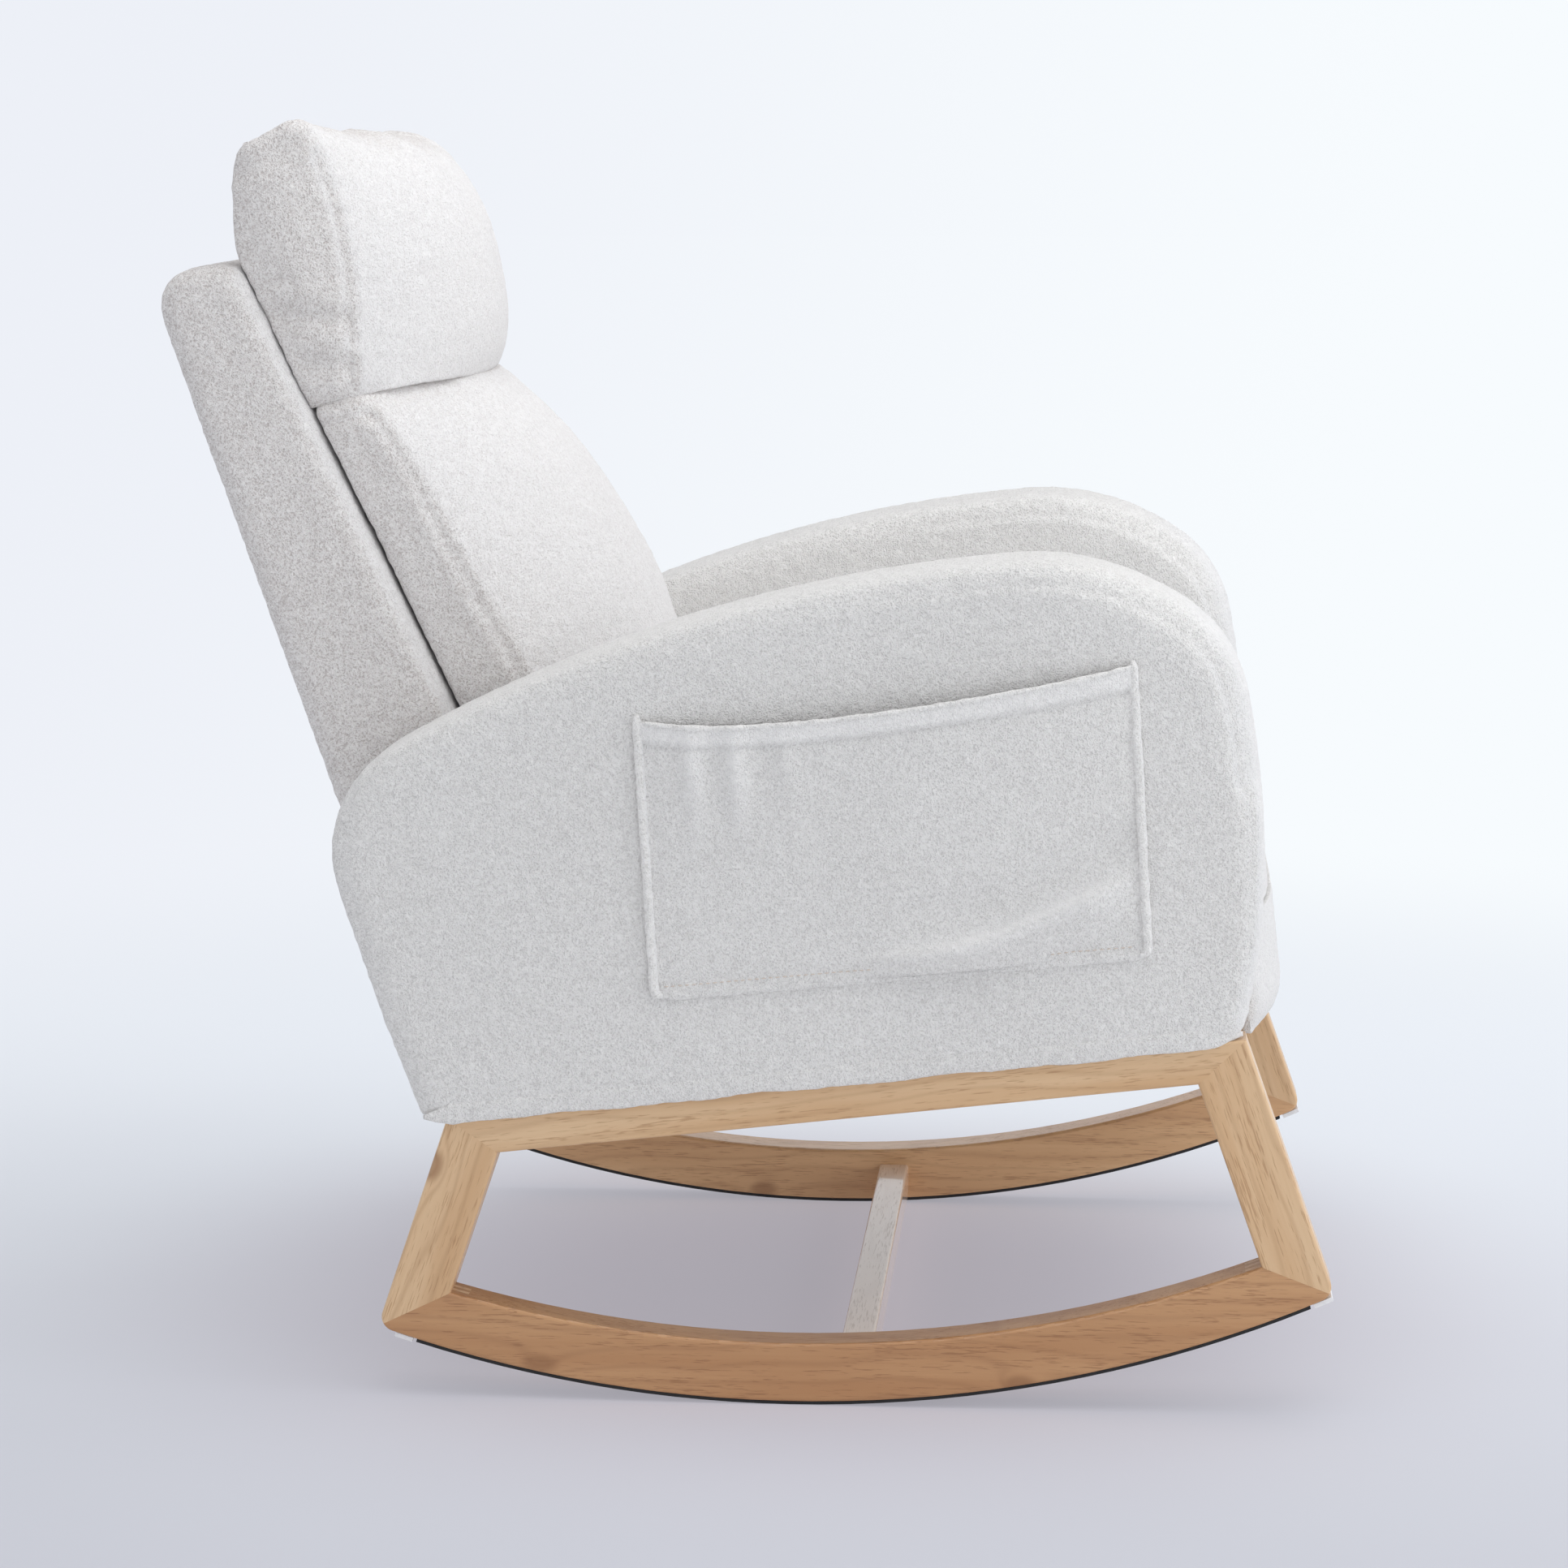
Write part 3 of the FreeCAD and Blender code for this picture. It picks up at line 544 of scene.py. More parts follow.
# The far runner's timber is painted paler than the near one's: painted light, making up for the darker
# light it gets under the chair.
wood_far_runner_painted_light = bar_wood("wood_far_runner_painted_light", 0.0, 1, tone(220, 178, 132), tone(205, 159, 114),
                           tone(160, 114, 76), [(0.0712, 0.0105, 0.010)], seed=0.61)
# The stretcher's wood tones are painted far paler than the other bars': its own grain under a painted
# reflection of the white surroundings in its lacquer.
wood_stretcher_painted_reflection = bar_wood("wood_stretcher_painted_reflection", 0.0, 0, tone(246, 222, 202), tone(238, 211, 188),
                          tone(190, 154, 122), seed=0.83, lines=0.12, lacquer=(1.0, 0.08))
wood_inner = bar_wood("wood_inner", 0.0, 1, tone(205, 172, 124), tone(188, 150, 100), tone(150, 112, 70),
                      seed=1.3)
plywood = bar_wood("plywood", RAIL_TILT, 1, tone(214, 186, 146), tone(196, 164, 120), tone(160, 126, 86),
                   seed=2.1)
webbing_weave = woven_finish("webbing_weave", tone(58, 58, 60), tone(96, 94, 92), 0.0026)
dust_weave = woven_finish("dust_weave", tone(34, 34, 36), tone(52, 52, 54), 0.0012)
grip_rubber = plain_finish("grip_rubber", tone(22, 22, 23), tone(38, 38, 39), 260, 0.62, 0.4, 0.0003)
pad_plastic = plain_finish("pad_plastic", tone(228, 228, 230), tone(240, 240, 241), 180, 0.38, 0.2, 0.0002)
thread = plain_finish("thread", tone(214, 200, 188), tone(226, 215, 205), 900, 0.7, 0.3, 0.0002,
                      Specular_IOR_Level=0.2)
zinc_steel = plain_finish("zinc_steel", tone(168, 170, 174), tone(196, 198, 202), 320, 0.3, 0.2, 0.0001,
                          Metallic=1.0)

FINISH_OF = {
    "front_post": wood_front_post, "rear_post": wood_rear_post, "top_rail": wood_top_rail,
    "left_rocker_runner": wood_far_runner_painted_light, "rocker_runner": wood_runner, "runner_stretcher": wood_stretcher_painted_reflection,
    "grip_strip": grip_rubber, "stop_pads": pad_plastic, "bolts": zinc_steel, "nuts": zinc_steel,
    "panel": plywood,
}
for name, solid in solids.items():
    chosen = [finish for key, finish in FINISH_OF.items() if name.endswith(key) and "back_top" not in name]
    finished(solid, chosen[0] if chosen else wood_inner)


# Padded arms

def build_arm(way):
    """One arm: a padded frame with a band sewn round its top."""
    side = "right" if way < 0 else "left"
    piece = hull_of(side + "_arm_cover", side + "_arm")
    remeshed(piece)
    relaxed(piece, 14)
    divided(piece)
    points = points_of(piece)
    facing = outward(piece)
    here = into(RAIL_PLANE, points)
    gap = gap_to(here * (0, 1, 1), arm_edge(side), 0.06)
    high = step(here[:, 2], 0.02, 0.09)
    flank = step(np.abs(facing[:, 0]), 0.55, 0.9)
    ahead = step(-here[:, 1], 0.02, 0.20)
    rise = 0.0024 * high * (1 - flank)
    band_seam = 0.0005 * bell(gap - 0.0205, 0.005) - 0.0014 * bell(gap - 0.0150, 0.0032)
    rise += flank * high * ahead * band_seam
    points += facing * rise[:, None]
    middle = (points[:, 0].min() + points[:, 0].max()) / 2
    ahead = step(-here[:, 1], 0.22, 0.33)
    aside = points[:, 0] - middle
    points[:, 0] -= np.sign(aside) * ahead * rounded_front(gap) * step(np.abs(aside), 0.01, 0.03)
    move_to(piece, points)
    napped(piece, seed=2 + way)
    finished(piece, boucle)
    kept(piece, "boucle", side + "_arm_cover")
    build_arm_hem(side, way)


def rounded_front(gap):
    """How far the arm's sides draw in, this far from its front edge."""
    return 0.010 * np.clip(1 - gap / 0.038, 0, 1) ** 2


HEM_TOP = 0.012               # upper edge of the arm's hem, over the rails' plane
HEM_REAR, HEM_FRONT = 0.291, -0.359
ARM_FRONT = -0.360


def build_arm_hem(side, way):
    """The cover's turned lower edge, which hangs a little over the top rail."""
    rings = []
    stations = np.linspace(HEM_REAR, HEM_FRONT, 260)
    for count, y in enumerate(stations):
        end = min(1.0, 0.2 + 0.09 * min(count, len(stations) - 1 - count))
        low = -0.0042 + 0.0012 * math.sin(y * 61) * math.sin(y * 23 + 1)
        ring = []
        for angle in np.linspace(0, 2 * math.pi, 18, endpoint=False):
            c, s = math.cos(angle), math.sin(angle)
            out = ARM_FACE - 0.0014 - rounded_front(y - ARM_FRONT) + 0.0021 * bulged(c, 0.6)
            up = (low + HEM_TOP) / 2 + (HEM_TOP - low) / 2 * end * bulged(s, 0.7)
            ring.append((way * out, y, up))
        rings.append(ring)
    piece = loft(side + "_arm_hem", RAIL_PLANE, rings)
    napped(piece, 0.0008, 45 + way)
    finished(piece, boucle)
    kept(piece, "boucle")


def arm_edge(side):
    """The arm's outline on the rails' plane, its foot left out."""
    here = into(RAIL_PLANE, points_of(solids[side + "_arm_cover"]))
    marks = sorted({(round(y, 5), round(z, 5)) for _, y, z in here})
    upper = []
    for mark in marks:
        while len(upper) > 1 and turning(upper[-2], upper[-1], mark) >= 0:
            upper.pop()
        upper.append(mark)
    return spaced(np.array([(0.0, y, z) for y, z in upper]), count=1400)


def turning(a, b, c):
    return (b[0] - a[0]) * (c[1] - a[1]) - (b[1] - a[1]) * (c[0] - a[0])


# Pads, lofted along their length and filled

def pad_ring(height, half, rear, seam, crown):
    """A section across a pad: flat rear, straight sides and a swollen front."""
    share = np.linspace(-1, 1, 49)
    level = np.full(49, height)
    back = np.stack([share * half, np.full(49, -rear), level], 1)
    swell = seam + (crown - seam) * arch(share)
    front = np.stack([-share * half, -swell, level], 1)
    return np.vstack([back, front]) * MM


def arch(share):
    """The swell of a pad's front from side to side, full in the middle."""
    return 1 - np.abs(share) ** 2.3


def fullness(share):
    return math.sqrt(max(0.0, math.sin(math.pi * share)))


cushion_seam = curve([(-2, 44), (15, 54), (60, 61), (196, 62), (248, 59), (301, 56), (359, 54), (414, 51),
                      (432, 46), (446, 40), (470, 35)])
cushion_crown = curve([(-2, 92), (10, 112), (40, 138), (100, 155), (168, 161), (215, 165), (254, 164),
                       (300, 158), (352, 147), (385, 136), (408, 126), (422, 119), (434, 112), (450, 99),
                       (470, 80)])
headrest_rear = curve([(415, -2), (560, -2), (580, -3), (592, -2.5), (604, 0.5), (618, 6), (632, 13),
                       (646, 20), (658, 26.5), (667, 34), (674, 46)])
headrest_seam = curve([(415, 33), (447, 36), (456, 39), (506, 61.7), (548, 78.1), (592, 90.3), (631, 97.2),
                       (655, 100), (668, 98), (674, 90)])
headrest_crown = curve([(415, 96), (427, 114), (435, 123), (442, 130), (456, 139), (471, 146), (487, 151),
                        (504, 155), (521, 159), (540, 162), (560, 163), (578, 162), (597, 158.5),
                        (615, 153), (632, 145), (648, 134), (660, 119), (668, 103), (674, 90)])
HEADREST_CREASES = (((539, 8), (526, 32), (514, 56)), ((492, 14), (484, 30), (477, 43)),
                    ((652, 34), (650, 58), (655, 84)))
HEADREST_DRAW, CUSHION_DRAW = 5, 6      # how far the sides draw in between the corners
HEADREST_FOOT, HEADREST_TOP = 415.0, 674.0
CUSHION_FOOT, CUSHION_TOP = -1.0, 468.0
PAD_HALF, PAD_FLANK = 227.0, 224.0      # a pad's half width at its corners and along its sides


def pad_half(height, foot, top, draw):
    return PAD_HALF - draw * fullness((height - foot) / (top - foot))


def on_back(marks):
    """Places on the back's plane, given in millimetres."""
    return out_of(BACK_PLANE, np.array(marks) * MM)


def seam_places(foot, top, draw, seam, way):
    """The side seam of a pad on the back."""
    heights = np.linspace(foot, top, 200)
    return on_back([(way * pad_half(h, foot, top, draw), -seam(h), h) for h in heights])


def filled_pad(name, plane, rings, shrink, cap):
    piece = loft(name, plane, rings)
    remeshed(piece)
    relaxed(piece, 2)
    move_to(piece, points_of(piece) - outward(piece) * shrink)
    puffed(piece, cap)
    relaxed(piece, 2)
    divided(piece)
    return piece


def crease(ahead):
    """Height of the joint between cushion and pillow, for a place so far ahead of the back."""
    past = ahead - 38
    return 453 - 0.2 * past - 0.0018 * np.clip(past, 0, None) ** 2


def pressed(piece, side):
    """Flattens a pad where cushion and pillow lie on each other: side is 1 for the upper one."""
    here = into(BACK_PLANE, points_of(piece)) / MM
    past = side * (here[:, 2] - crease(-here[:, 1])) + 0.4
    here[:, 2] -= side * 0.985 * np.minimum(past, 0)
    round_edge, depth = (13, 5.5) if side > 0 else (17, 8)
    close = np.clip(1 - np.maximum(past, 0) / round_edge, 0, 1)
    drawn_in = depth * close ** 2 * step(np.abs(here[:, 0]), 190, 222)
    here[:, 0] -= np.sign(here[:, 0]) * drawn_in
    move_to(piece, on_back(here))
    relaxed(piece, 2)


def build_back_cushion():
    rings = [pad_ring(h, pad_half(h, CUSHION_FOOT, CUSHION_TOP, CUSHION_DRAW), 1.0, cushion_seam(h),
                      cushion_crown(h)) for h in np.linspace(CUSHION_FOOT, CUSHION_TOP, 90)]
    piece = filled_pad("back_cushion_pad", BACK_PLANE, rings, 0.004, 0.007)
    pressed(piece, -1)
    points, facing = points_of(piece), outward(piece)
    here = into(BACK_PLANE, points)
    front = step(-here[:, 1], 0.06, 0.10)
    points += facing * (front * 0.0025 * ripple(points, 0.11, 4))[:, None]
    move_to(piece, points)
    for way in (-1, 1):
        seam = seam_places(8, 440, CUSHION_DRAW, cushion_seam, way)
        sewn(piece, seam, 0.0024, 0.0048, 0.0005, 0.0005, 3 + way)
        shoulder = on_back([(way * PAD_FLANK, -w, crease(w) - 16) for w in np.linspace(1, 46, 60)])
        sewn(piece, shoulder, 0.0016, 0.0046, 0.0004, 0.0004, 4 + way)
    napped(piece, seed=7)
    finished(piece, boucle_back_shaded)
    kept(piece, "boucle", "back_cushion")


def build_headrest():
    """The pillow over the cushion: its corners stand up as ears and two folds run from its top edge."""
    heights = np.concatenate([np.linspace(HEADREST_FOOT, 650, 60), np.linspace(652, HEADREST_TOP, 18)])
    rings = [pad_ring(h, pad_half(h, HEADREST_FOOT, HEADREST_TOP, HEADREST_DRAW), headrest_rear(h),
                      headrest_seam(h), headrest_crown(h)) for h in heights]
    piece = filled_pad("headrest_pad", BACK_PLANE, rings, 0.004, 0.007)
    pressed(piece, 1)
    here = into(BACK_PLANE, points_of(piece)) / MM
    x, depth, height = here[:, 0], -here[:, 1], here[:, 2]
    ears = step(-x, 50, 226) - 0.35 * step(x, 60, 222)
    here[:, 2] -= 17 * (1 - ears) * step(height, 585, 668)
    move_to(piece, on_back(here))
    points, facing = points_of(piece), outward(piece)
    front = step(depth, 90, 130)
    points += facing * (front * 0.0028 * ripple(points, 0.12, 9))[:, None]
    flank = step(np.abs(facing[:, 0]), 0.5, 0.9)
    swell = 0.004 * bell(depth - 0.5 * headrest_seam(height), 26) * step(height, 455, 500)
    points += facing * (flank * swell)[:, None]
    for start, drift in ((-105, 55), (69, 60)):
        line = start + drift * (HEADREST_TOP - 14 - height) / 80
        fold = bell(x - line, 17) - 0.8 * bell(x - line - 34, 20)
        fade = step(height, 560, 640) * step(depth, 92, 110)
        points += facing * (0.0045 * fold * fade)[:, None]
    move_to(piece, points)
    for way in (-1, 1):
        seam = seam_places(458, HEADREST_TOP - 4, HEADREST_DRAW, headrest_seam, way)
        sewn(piece, seam, 0.0022, 0.0050, 0.0005, 0.0006, 5 + way)
        for marks in HEADREST_CREASES:
            line = on_back([(way * PAD_FLANK, -w, v + 5 * (way > 0)) for v, w in marks])
            creased(piece, through(line, 60), 0.0022, 0.007)
    top = [(x, -(headrest_rear(HEADREST_TOP) + 15), HEADREST_TOP) for x in np.linspace(-176, 212, 200)]
    sewn(piece, on_back(top), 0.0018, 0.0048, 0.0004, 0.0006, 8)
    napped(piece, seed=11)
    finished(piece, boucle_back_shaded)
    kept(piece, "boucle", "headrest_pillow")


SEAT_FRONT, SEAT_REAR, SEAT_FOOT, SEAT_HALF = -397.0, 150.0, 80.3, 231.0
SEAT_JOINT = 77.5             # between the seat cushion and the apron, above the rails' plane
SEAT_PRESS = 0.96             # how flat both lie on each other there


def front_turn(here):
    """How far the padded front of the seat turns back towards its ends."""
    return 24 * np.clip(np.abs(here[:, 0]) / 232, 0, 1) ** 5 * (1 - step(here[:, 1], -394, -362))


def seat_edge(share):
    return 38 + 18 * fullness(share)


def build_seat_cushion():
    plane = RAIL_PLANE @ Matrix.Translation((0, SEAT_FRONT * MM, SEAT_FOOT * MM))
    plane = plane @ Matrix.Rotation(-math.pi / 2, 4, "X")
    length = SEAT_REAR - SEAT_FRONT
    rings = []
    for share in np.linspace(0, 1, 100):
        edge = seat_edge(share)
        crown = edge + 30 * (0.4 + 0.6 * fullness(share))
        rings.append(pad_ring(share * length, SEAT_HALF, 0.6, edge, crown))
    piece = filled_pad("seat_cushion_pad", plane, rings, 0.003, 0.005)
    here = into(RAIL_PLANE, points_of(piece)) / MM
    here[:, 2] -= 6 * (1 - step(here[:, 2], 84, 104)) * (1 - step(here[:, 1], -372, -352))
    here[:, 2] += SEAT_PRESS * np.maximum(SEAT_JOINT + 0.3 - here[:, 2], 0)
    here[:, 1] += front_turn(here)
    move_to(piece, out_of(RAIL_PLANE, here * MM))
    points, facing = points_of(piece), outward(piece)
    top = step(facing[:, 2], 0.5, 0.9)
    points += facing * (top * 0.003 * ripple(points, 0.13, 12))[:, None]
    move_to(piece, points)
    for way in (-1, 1):
        seam = [(way * SEAT_HALF, -seat_edge(s), s * length) for s in np.linspace(0.0, 1, 260)]
        sewn(piece, out_of(plane, np.array(seam) * MM), 0.0026, 0.0042, 0.0004, 0.0009, 13 + way)
    front = [(x, -seat_edge(0) - 12 * arch(x / SEAT_HALF), 0)
             for x in np.linspace(-SEAT_HALF, SEAT_HALF, 220)]
    sewn(piece, out_of(plane, np.array(front) * MM), 0.0026, 0.0042, 0.0004, 0.0009, 15)
    napped(piece, seed=17)
    finished(piece, boucle)
    kept(piece, "boucle", "seat_cushion")


# Padded back and apron

def build_back():
    piece = hull_of("back_cover", "back_panel")
    remeshed(piece)
    relaxed(piece, 3)
    divided(piece)
    points, facing = points_of(piece), outward(piece)
    here = into(BACK_PLANE, points)
    rear = step(facing[:, 1], 0.5, 0.9)
    swell = np.clip(1 - (here[:, 0] / BACK_HALF) ** 2, 0, 1)
    swell *= step(here[:, 2], -0.1, 0.1) * step(0.6 - here[:, 2], 0, 0.1)
    points += facing * (rear * swell * 0.003 + 0.0010)[:, None]
    move_to(piece, points)
    napped(piece, seed=19)
    finished(piece, boucle_back_shaded)
    kept(piece, "boucle", "back_cover")


def build_apron():
    """The padded front, whose upper edge reaches the seat cushion."""
    piece = hull_of("seat_apron", "seat_apron_pad")
    remeshed(piece, 0.005)
    relaxed(piece, 2)
    divided(piece)
    here = into(RAIL_PLANE, points_of(piece)) / MM
    here[:, 2] += 8 * step(here[:, 2], 52, 72)
    here[:, 2] -= SEAT_PRESS * np.maximum(here[:, 2] - SEAT_JOINT + 0.3, 0)
    here[:, 1] += front_turn(here)
    move_to(piece, out_of(RAIL_PLANE, here * MM))
    relaxed(piece, 1)
    napped(piece, seed=23)
    finished(piece, boucle)
    kept(piece, "boucle", "seat_apron")


# Side pockets

POCKET_CORNERS = np.array([(82.5, 302.8), (-305.0, 304.0), (-292.6, 76.9), (95.4, 82.6)])
POCKET_WIDE, POCKET_DEEP = 388, 222     # the panel as it was cut
pocket_mouth = curve([(0, 0), (0.016, 4), (0.1, 10.5), (0.19, 14), (0.35, 16), (0.51, 15.3), (0.7, 12),
                      (0.85, 8), (0.97, 3), (1, 0)])


def pocket_place(s, t):
    """A place on the pocket's panel: s from its rear edge to its front, t from its mouth to its foot."""
    a, b, c, d = POCKET_CORNERS
    s, t = s[..., None], t[..., None]
    place = (1 - t) * ((1 - s) * a + s * b) + t * ((1 - s) * d + s * c)
    place[..., 1] -= pocket_mouth(s[..., 0]) * (1 - t[..., 0]) ** 2
    return place


pocket_ridge = curve([(-330, 161), (-290, 145), (-225, 121), (-161, 103), (-75, 97), (0, 96), (110, 96)])


def pocket_stand(s, t, y, z):
    """How far the panel stands off the arm, in millimetres."""
    belly = np.clip(4 * s * (1 - s), 0, 1) ** 0.75
    stand = 2.6 + belly * (13.5 * (1 - t) ** 1.6 + 4.0 * np.sin(math.pi * t) ** 0.8)
    for middle, size in ((42, 4.8), (8, 5.4), (-32, 2.2)):
        stand += size * bell(y - middle - 8 * t, 9) * step(z, 185, 262) * (1 - 0.5 * bell(t, 0.1))
    above = z - pocket_ridge(y)
    ledge = step(5 - above, 0, 8) * step(above + 44, 0, 40)
    stand += 12.0 * ledge * step(-y, 50, 150) * step(1 - s, 0, 0.12)
    stand -= 3.0 * bell(above - 24, 15) * step(-y, 70, 160)
    return np.maximum(stand, 2.0)


def pocket_painted_highlight(s, t, y, z):
    """Painted highlight: where the panel's folds face upwards their colour is made paler, standing in for
    the light they catch.
    """
    above = z - pocket_ridge(y)
    shine = 0.75 * bell(above - 1, 8) * step(-y, 60, 170) * step(1 - s, 0.01, 0.12)
    for middle in (42, 8):
        shine += 0.45 * bell(y - middle - 8 * t, 7) * step(z, 185, 262)
    return shine


def build_pocket(way):
    """A panel sewn on along three edges: a hemmed mouth that stands open, and bound sides."""
    side = "right" if way < 0 else "left"
    across, down = 121, 73
    s, t = np.meshgrid(np.linspace(0, 1, across), np.linspace(0, 1, down), indexing="ij")
    flat = pocket_place(s, t)
    y, z = flat[..., 0], flat[..., 1]
    stand = pocket_stand(s, t, y, z)
    hem = t * POCKET_DEEP
    stand = stand + 1.3 * step(17.5 - hem, 0, 1.5) - 1.2 * bell(hem - 19, 1.8)
    for inset in ((1 - t) * POCKET_DEEP, s * POCKET_WIDE, (1 - s) * POCKET_WIDE):
        stand -= 1.2 * bell(inset - 8, 1.8)
    stand += 0.5 * ripple(np.stack([y, z, y * 0], -1).reshape(-1, 3), 26, 3 + way).reshape(y.shape)
    skins = []
    for offset in (0.0, -1.6):
        x = way * (ARM_FACE / MM + np.maximum(stand + offset, 0.7 if offset else 1.9))
        skins.append(np.stack([x, y, z], -1).reshape(-1, 3))
    count = across * down
    faces = net(across, down)
    faces += [tuple(count + i for i in reversed(face)) for face in faces]
    rim = [a * down for a in range(across)] + [(across - 1) * down + b for b in range(1, down)]
    rim += [a * down + down - 1 for a in range(across - 2, -1, -1)] + [b for b in range(down - 2, 0, -1)]
    for i, j in zip(rim, rim[1:] + rim[:1]):
        faces.append((i, j, count + j, count + i))
    piece = new_piece(side + "_pocket_panel", out_of(RAIL_PLANE, np.vstack(skins) * MM), faces)
    smooth_shading(piece)
    napped(piece, 0.0005, 25 + way)
    finished(piece, boucle)
    # The hem band is made paler and the folds get painted highlights, kept as a point attribute for the
    # finish.
    folds = np.maximum(step(17 - hem, 0, 3) * 0.55, pocket_painted_highlight(s, t, y, z))
    raised = piece.data.attributes.new("raised", "FLOAT", "POINT")
    raised.data.foreach_set("value", np.concatenate([folds.ravel(), np.zeros(count)]).astype(np.float32))
    rear_top, front_top, front_foot, rear_foot = POCKET_CORNERS
    rear = spaced(np.vstack([rear_top + (-0.3, 3.5), turned(rear_foot, rear_top, front_foot)]))
    front = spaced(np.vstack([front_top + (0.3, 3.5), turned(front_foot, front_top, rear_foot)]))
    foot = spaced(np.vstack([rear_foot + (-4, 0), front_foot + (4, 0)]))
    edges = [build_pocket_edge(side + "_pocket_" + name, way, *shape)
             for name, shape in (("rear_rim", (rear, np.full(len(rear), 2.8), 3.9, 2.6, boucle_edge)),
                                 ("front_rim", (front, np.full(len(front), 2.8), 3.7, 2.4, boucle_edge)),
                                 ("foot", (foot, np.full(len(foot), 1.6), 4.6, 1.5, boucle)),
                                 ("hem", (*pocket_hem(), 2.2, 2.0, boucle_edge)))]
    edges.append(build_stitches(side + "_pocket_stitches", piece, way, foot + (0, 7.0)))
    kept(piece, "boucle", side + "_side_pocket")


def turned(corner, before, after, reach=7.0):
    """A rounded corner between two edges of the pocket."""
    start = corner + (before - corner) / np.linalg.norm(before - corner) * reach
    end = corner + (after - corner) / np.linalg.norm(after - corner) * reach
    share = np.linspace(0, 1, 9)[:, None]
    return (1 - share) ** 2 * start + 2 * share * (1 - share) * corner + share ** 2 * end


def pocket_hem():
    """The rolled edge of the mouth, which stands off the arm with the panel."""
    s = np.linspace(0.006, 0.994, 170)
    line = pocket_place(s, s * 0)
    return line, pocket_stand(s, s * 0, line[:, 0], line[:, 1]) + 0.6


def build_stitches(name, panel, way, line):
    """Short thread stitches along a line on the pocket, sunk a little into its pile."""
    line = spaced(line, 1.1)
    seat = into(RAIL_PLANE, laid_on(panel, out_of(RAIL_PLANE, np.column_stack(
        [np.full(len(line), way * (ARM_FACE + 0.004)), line * MM]))))
    stitches = []
    for start in range(4, len(seat) - 8, 5):
        rings = []
        for count, place in enumerate(seat[start:start + 4]):
            size = 0.00045 if 0 < count < 3 else 0.00022
            turn = np.linspace(0, 2 * math.pi, 6, endpoint=False)
            ring = [way * 0.0003 + size * np.cos(turn), turn * 0, size * np.sin(turn)]
            rings.append(place + np.stack(ring, 1))
        stitches.append(np.array(rings))
    piece = loft(name, RAIL_PLANE, *stitches)
    finished(piece, thread)
    return kept(piece, "boucle")


def build_pocket_edge(name, way, line, stand, wide, thick, finish):
    """A soft rolled edge along a line on the arm's side."""
    ahead = np.gradient(line, axis=0)
    ahead /= np.linalg.norm(ahead, axis=1, keepdims=True)
    rings = []
    for count, (place, (y, z), out) in enumerate(zip(line, ahead, stand)):
        end = min(1.0, 0.4 + 0.2 * min(count, len(line) - 1 - count))
        ring = []
        for angle in np.linspace(0, 2 * math.pi, 16, endpoint=False):
            aside = wide * end * math.cos(angle)
            lift = max(out + thick * end * math.sin(angle), 0.4)
            ring.append((way * (ARM_FACE / MM + lift), place[0] - z * aside, place[1] + y * aside))
        rings.append(ring)
    piece = loft(name, RAIL_PLANE, np.array(rings) * MM)
    napped(piece, 0.0011, 31 + way)
    finished(piece, finish)
    return kept(piece, "boucle")


# Hidden cloth: dust covers and webbing

DUST_NET = 60                 # points along each side of a dust cloth
STRAP_WIDE, STRAP_THICK = 0.050, 0.0019
STRAP_LEVEL = 0.0775          # the straps' height over the rails' plane
STRAP_WEAVE = 0.0011          # how far they pass over and under each other


def build_dust_cover(name, node, sag, *rails):
    """A thin cloth stretched under a frame."""
    here = into(RAIL_PLANE, points_of(solids[node]))
    (x0, y0, _), (x1, y1, z1) = here.min(0) + 0.001, here.max(0) - 0.001
    u, v = np.meshgrid(np.linspace(0, 1, DUST_NET), np.linspace(0, 1, DUST_NET), indexing="ij")
    hang = -sag * (np.sin(math.pi * u) * np.sin(math.pi * v)) ** 0.6
    places = np.stack([x0 + (x1 - x0) * u, y0 + (y1 - y0) * v, z1 + hang], -1).reshape(-1, 3)
    places[:, 2] += 0.0006 * ripple(places, 0.03, 41) * (-hang.ravel() / sag)
    piece = new_piece(name, out_of(RAIL_PLANE, places), net(DUST_NET, DUST_NET))
    worked(piece, "SOLIDIFY", thickness=0.0008, offset=0)
    smooth_shading(piece)
    finished(piece, dust_weave)
    kept(piece, "dust_cloth", node)
    x1 - x0
    y1 - y0


def strap(places, aside, wide, thick):
    """A flat strap along a line of places: rounded edges, the same all along."""
    rings = []
    for place in places:
        ring = []
        for angle in np.linspace(0, 2 * math.pi, 14, endpoint=False):
            c, s = math.cos(angle), math.sin(angle)
            flat = bulged(c, 0.25) * wide / 2
            rise = bulged(s, 0.6) * thick / 2
            ring.append(np.array(place) + np.array(aside) * flat + np.array((0, 0, rise)))
        rings.append(ring)
    return np.array(rings)


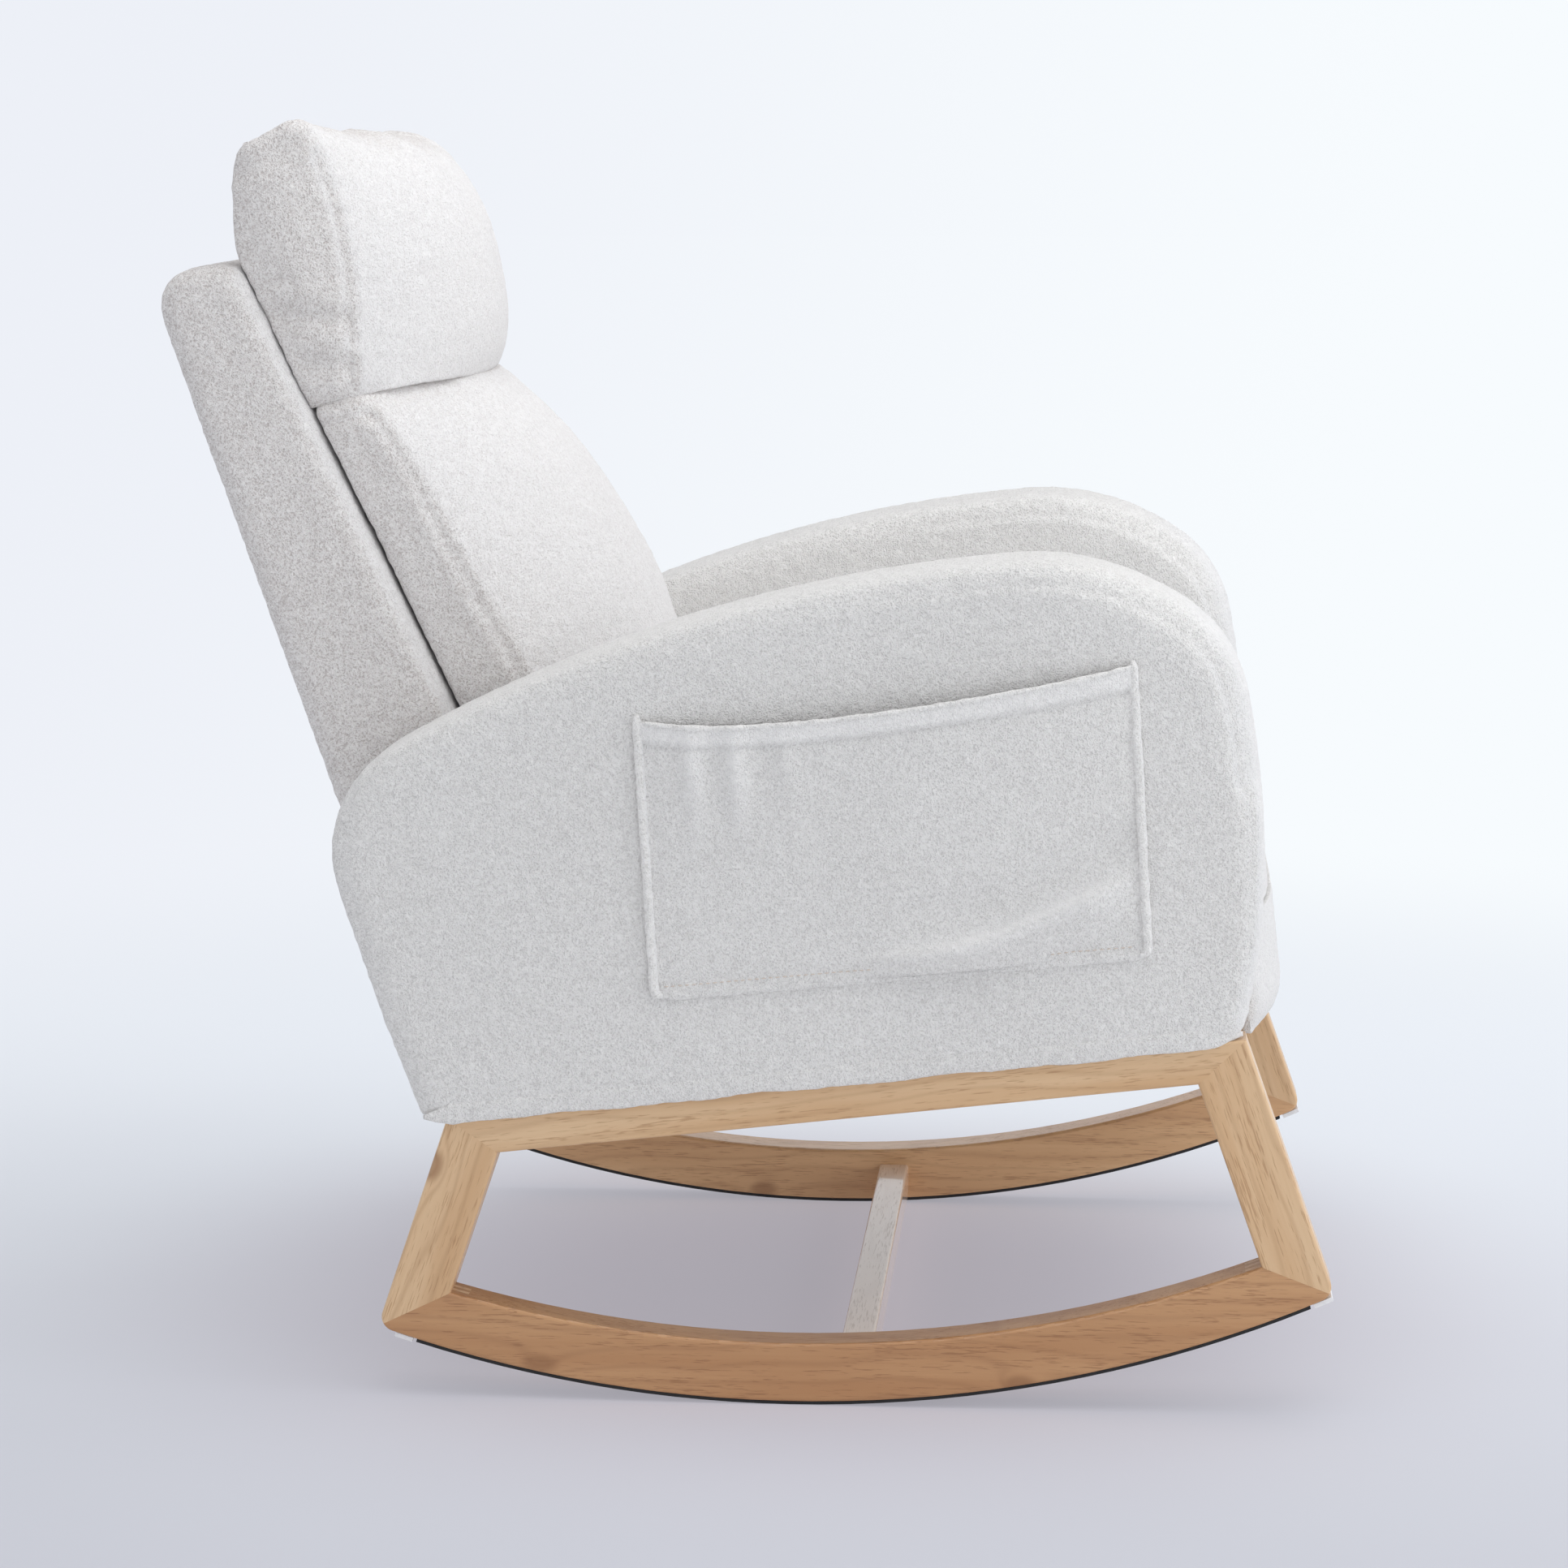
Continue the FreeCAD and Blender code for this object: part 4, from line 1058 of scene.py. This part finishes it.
def build_seat_webbing():
    """Five straps from front to rear and four across, woven over and under each other."""
    half, front, rear = 0.2195, -0.358, 0.1349
    long_step, cross_step = 2 * half / 5, (rear - front) / 4
    long_x = [(count + 0.5) * long_step - half for count in range(5)]
    cross_y = [(count + 0.5) * cross_step + front for count in range(4)]
    straps = []
    for count, x in enumerate(long_x):
        places = []
        for y in np.linspace(front, rear, 90):
            weave = sum((-1) ** (count + k) * bell((y - at) / 0.030, 1) for k, at in enumerate(cross_y))
            places.append((x, y, STRAP_LEVEL + STRAP_WEAVE * weave))
        straps.append(strap(places, (1, 0, 0), STRAP_WIDE, STRAP_THICK))
    for count, y in enumerate(cross_y):
        places = []
        for x in np.linspace(-0.2315, 0.2315, 90):
            weave = sum((-1) ** (count + k + 1) * bell((x - at) / 0.030, 1) for k, at in enumerate(long_x))
            places.append((x, y, STRAP_LEVEL + STRAP_WEAVE * weave))
        straps.append(strap(places, (0, 1, 0), STRAP_WIDE, STRAP_THICK))
    piece = loft("seat_straps", RAIL_PLANE, *straps)
    finished(piece, webbing_weave)
    kept(piece, "webbing", "seat_webbing")


def build_back_webbing():
    straps = []
    level = BACK_PLANE @ Matrix.Rotation(math.pi / 2, 4, "X")
    for count in range(4):
        middle = 0.035 + 0.091 * count + 0.025
        places = [(x, middle, -0.0096 - 0.0012 * (1 - (x / 0.222) ** 2))
                  for x in np.linspace(-0.2215, 0.2215, 60)]
        straps.append(strap(places, (0, 1, 0), 0.049, 0.0020))
    piece = loft("back_straps", level, *straps)
    finished(piece, webbing_weave)
    kept(piece, "webbing", "back_webbing")


for way in (-1, 1):
    build_arm(way)
    build_pocket(way)
build_back()
build_apron()
build_seat_cushion()
build_back_cushion()
build_headrest()
build_dust_cover("seat_dust_cloth", "seat_dust_cover", 0.005, "seat_front_rail", "seat_rear_rail")
build_dust_cover("back_dust_cloth", "back_dust_cover", 0.002, "back_bottom_rail", "left_back_stile",
                 "right_back_stile")
build_seat_webbing()
build_back_webbing()


# Floor, light and camera

def backdrop(toward):
    """The pale studio wall behind the chair, a little darker to the chair's rear."""
    aside = toward.part("Y") / toward.length()
    return aside.between(-0.10, 0.26).mixed(tone(247, 251, 254), tone(237, 240, 247))


def build_floor():
    floor = new_piece("floor", [(-30, -30, 0), (30, -30, 0), (30, 30, 0), (-30, 30, 0)], [(0, 1, 2, 3)])
    finish, shader, place = new_finish("floor_paper", Roughness=0.9, Specular_IOR_Level=0.1)
    away = place.stretched((1, 1, 0)).length()
    depth = place.part("X")
    patches = place.clouds(2.2, 2)
    # The paper is darker at the front and paler towards the back: painted light, the floor lit more by the
    # wall behind.
    back = (depth + patches * 0.2).between(-1.0, 1.3)
    paper = back.mixed(tone(206, 208, 217), tone(242, 247, 254))
    # Near the chair the paper turns purplish: painted shade, the colour of the chair's shadow.
    paper = (1 - away.between(0.15, 0.8)).mixed(paper, tone(210, 206, 216))
    tree = finish.node_tree
    strand = Strand(tree)
    # Rays other than the camera's meet a paler paper, so the floor throws more light back onto the chair.
    show(finish, shader, Base_Color=seen_directly(strand).mixed(tone(244, 246, 250), paper))
    far = away.between(0.8, 2.4)
    wall = far.mixed(paper, backdrop(place.shifted((3.6, 0, 0))))
    # A share of the paper glows: painted light which lifts the floor's shadows where the camera sees it and
    # lights the chair from below; far off it turns into the wall.
    glow = strand.node("ShaderNodeEmission", {}, {"Color": wall, "Strength": 1.0})
    share = 0.3 + (0.2 + far * 0.5) * seen_directly(strand)
    mixed = strand.node("ShaderNodeMixShader", {}, {0: share})
    mixer = mixed.socket.node
    tree.links.new(shader.outputs[0], mixer.inputs[1])
    tree.links.new(glow.socket, mixer.inputs[2])
    tree.links.new(mixed.socket, tree.nodes["Material Output"].inputs["Surface"])
    finished(floor, finish)


def seen_directly(strand):
    """One for what the camera sees, also in gloss and through glass."""
    rays = [strand.node("ShaderNodeLightPath", {}, {}, out)
            for out in ("Is Camera Ray", "Is Glossy Ray", "Is Transmission Ray")]
    seen = rays[0] + rays[1] + rays[2]
    return seen.between(0.0, 1.0)


def build_light():
    world = bpy.data.worlds.new("studio")
    world.use_nodes = True
    bpy.context.scene.world = world
    tree = world.node_tree
    strand = Strand(tree)
    seen = seen_directly(strand)
    toward = strand.node("ShaderNodeTexCoord", {}, {}, "Generated")
    walls = 0.38 + 0.92 * (1 - toward.part("Z").between(0.0, 0.6))
    lit = strand.node("ShaderNodeBackground", {}, {"Color": tone(250, 251, 255), "Strength": walls})
    shown = strand.node("ShaderNodeBackground", {}, {"Color": backdrop(toward), "Strength": 1.0})
    mixed = strand.node("ShaderNodeMixShader", {}, {0: seen, 1: lit, 2: shown})
    tree.links.new(mixed.socket, tree.nodes["World Output"].inputs["Surface"])
    for name, place, aim, size, power in (
            ("overhead", (-0.3, -0.45, 2.8), (0, 0.0, 0.4), 3.0, 42),
            ("front", (-0.7, -3.2, 1.7), (0, 0, 0.6), 2.0, 17),
            ("front_low", (-1.3, -2.6, 0.35), (0, 0, 0.15), 1.0, 7)):
        lamp = bpy.data.lights.new(name, "AREA")
        lamp.shape = "DISK"
        lamp.size = size
        lamp.energy = power
        stand = placed(name, lamp)
        stand.location = place
        stand.rotation_mode = "QUATERNION"
        stand.rotation_quaternion = (Vector(aim) - Vector(place)).to_track_quat("-Z", "Y")


def build_camera():
    lens = bpy.data.cameras.new("camera")
    lens.sensor_width = 36.0
    lens.lens = 98.76
    lens.clip_end = 100
    camera = placed("camera", lens)
    right, up = Vector((0.0760, -0.99711, 0)), Vector((0.1560, 0.01189, 0.98769))
    behind = Vector((-0.98483, -0.07509, 0.15645))
    turn = Matrix((right, up, behind)).transposed()
    camera.matrix_world = Matrix.Translation((-3.6401, -0.2487, 1.0255)) @ turn.to_4x4()
    bpy.context.scene.camera = camera


build_floor()
build_light()
build_camera()
bpy.context.scene.view_settings.view_transform = "Standard"
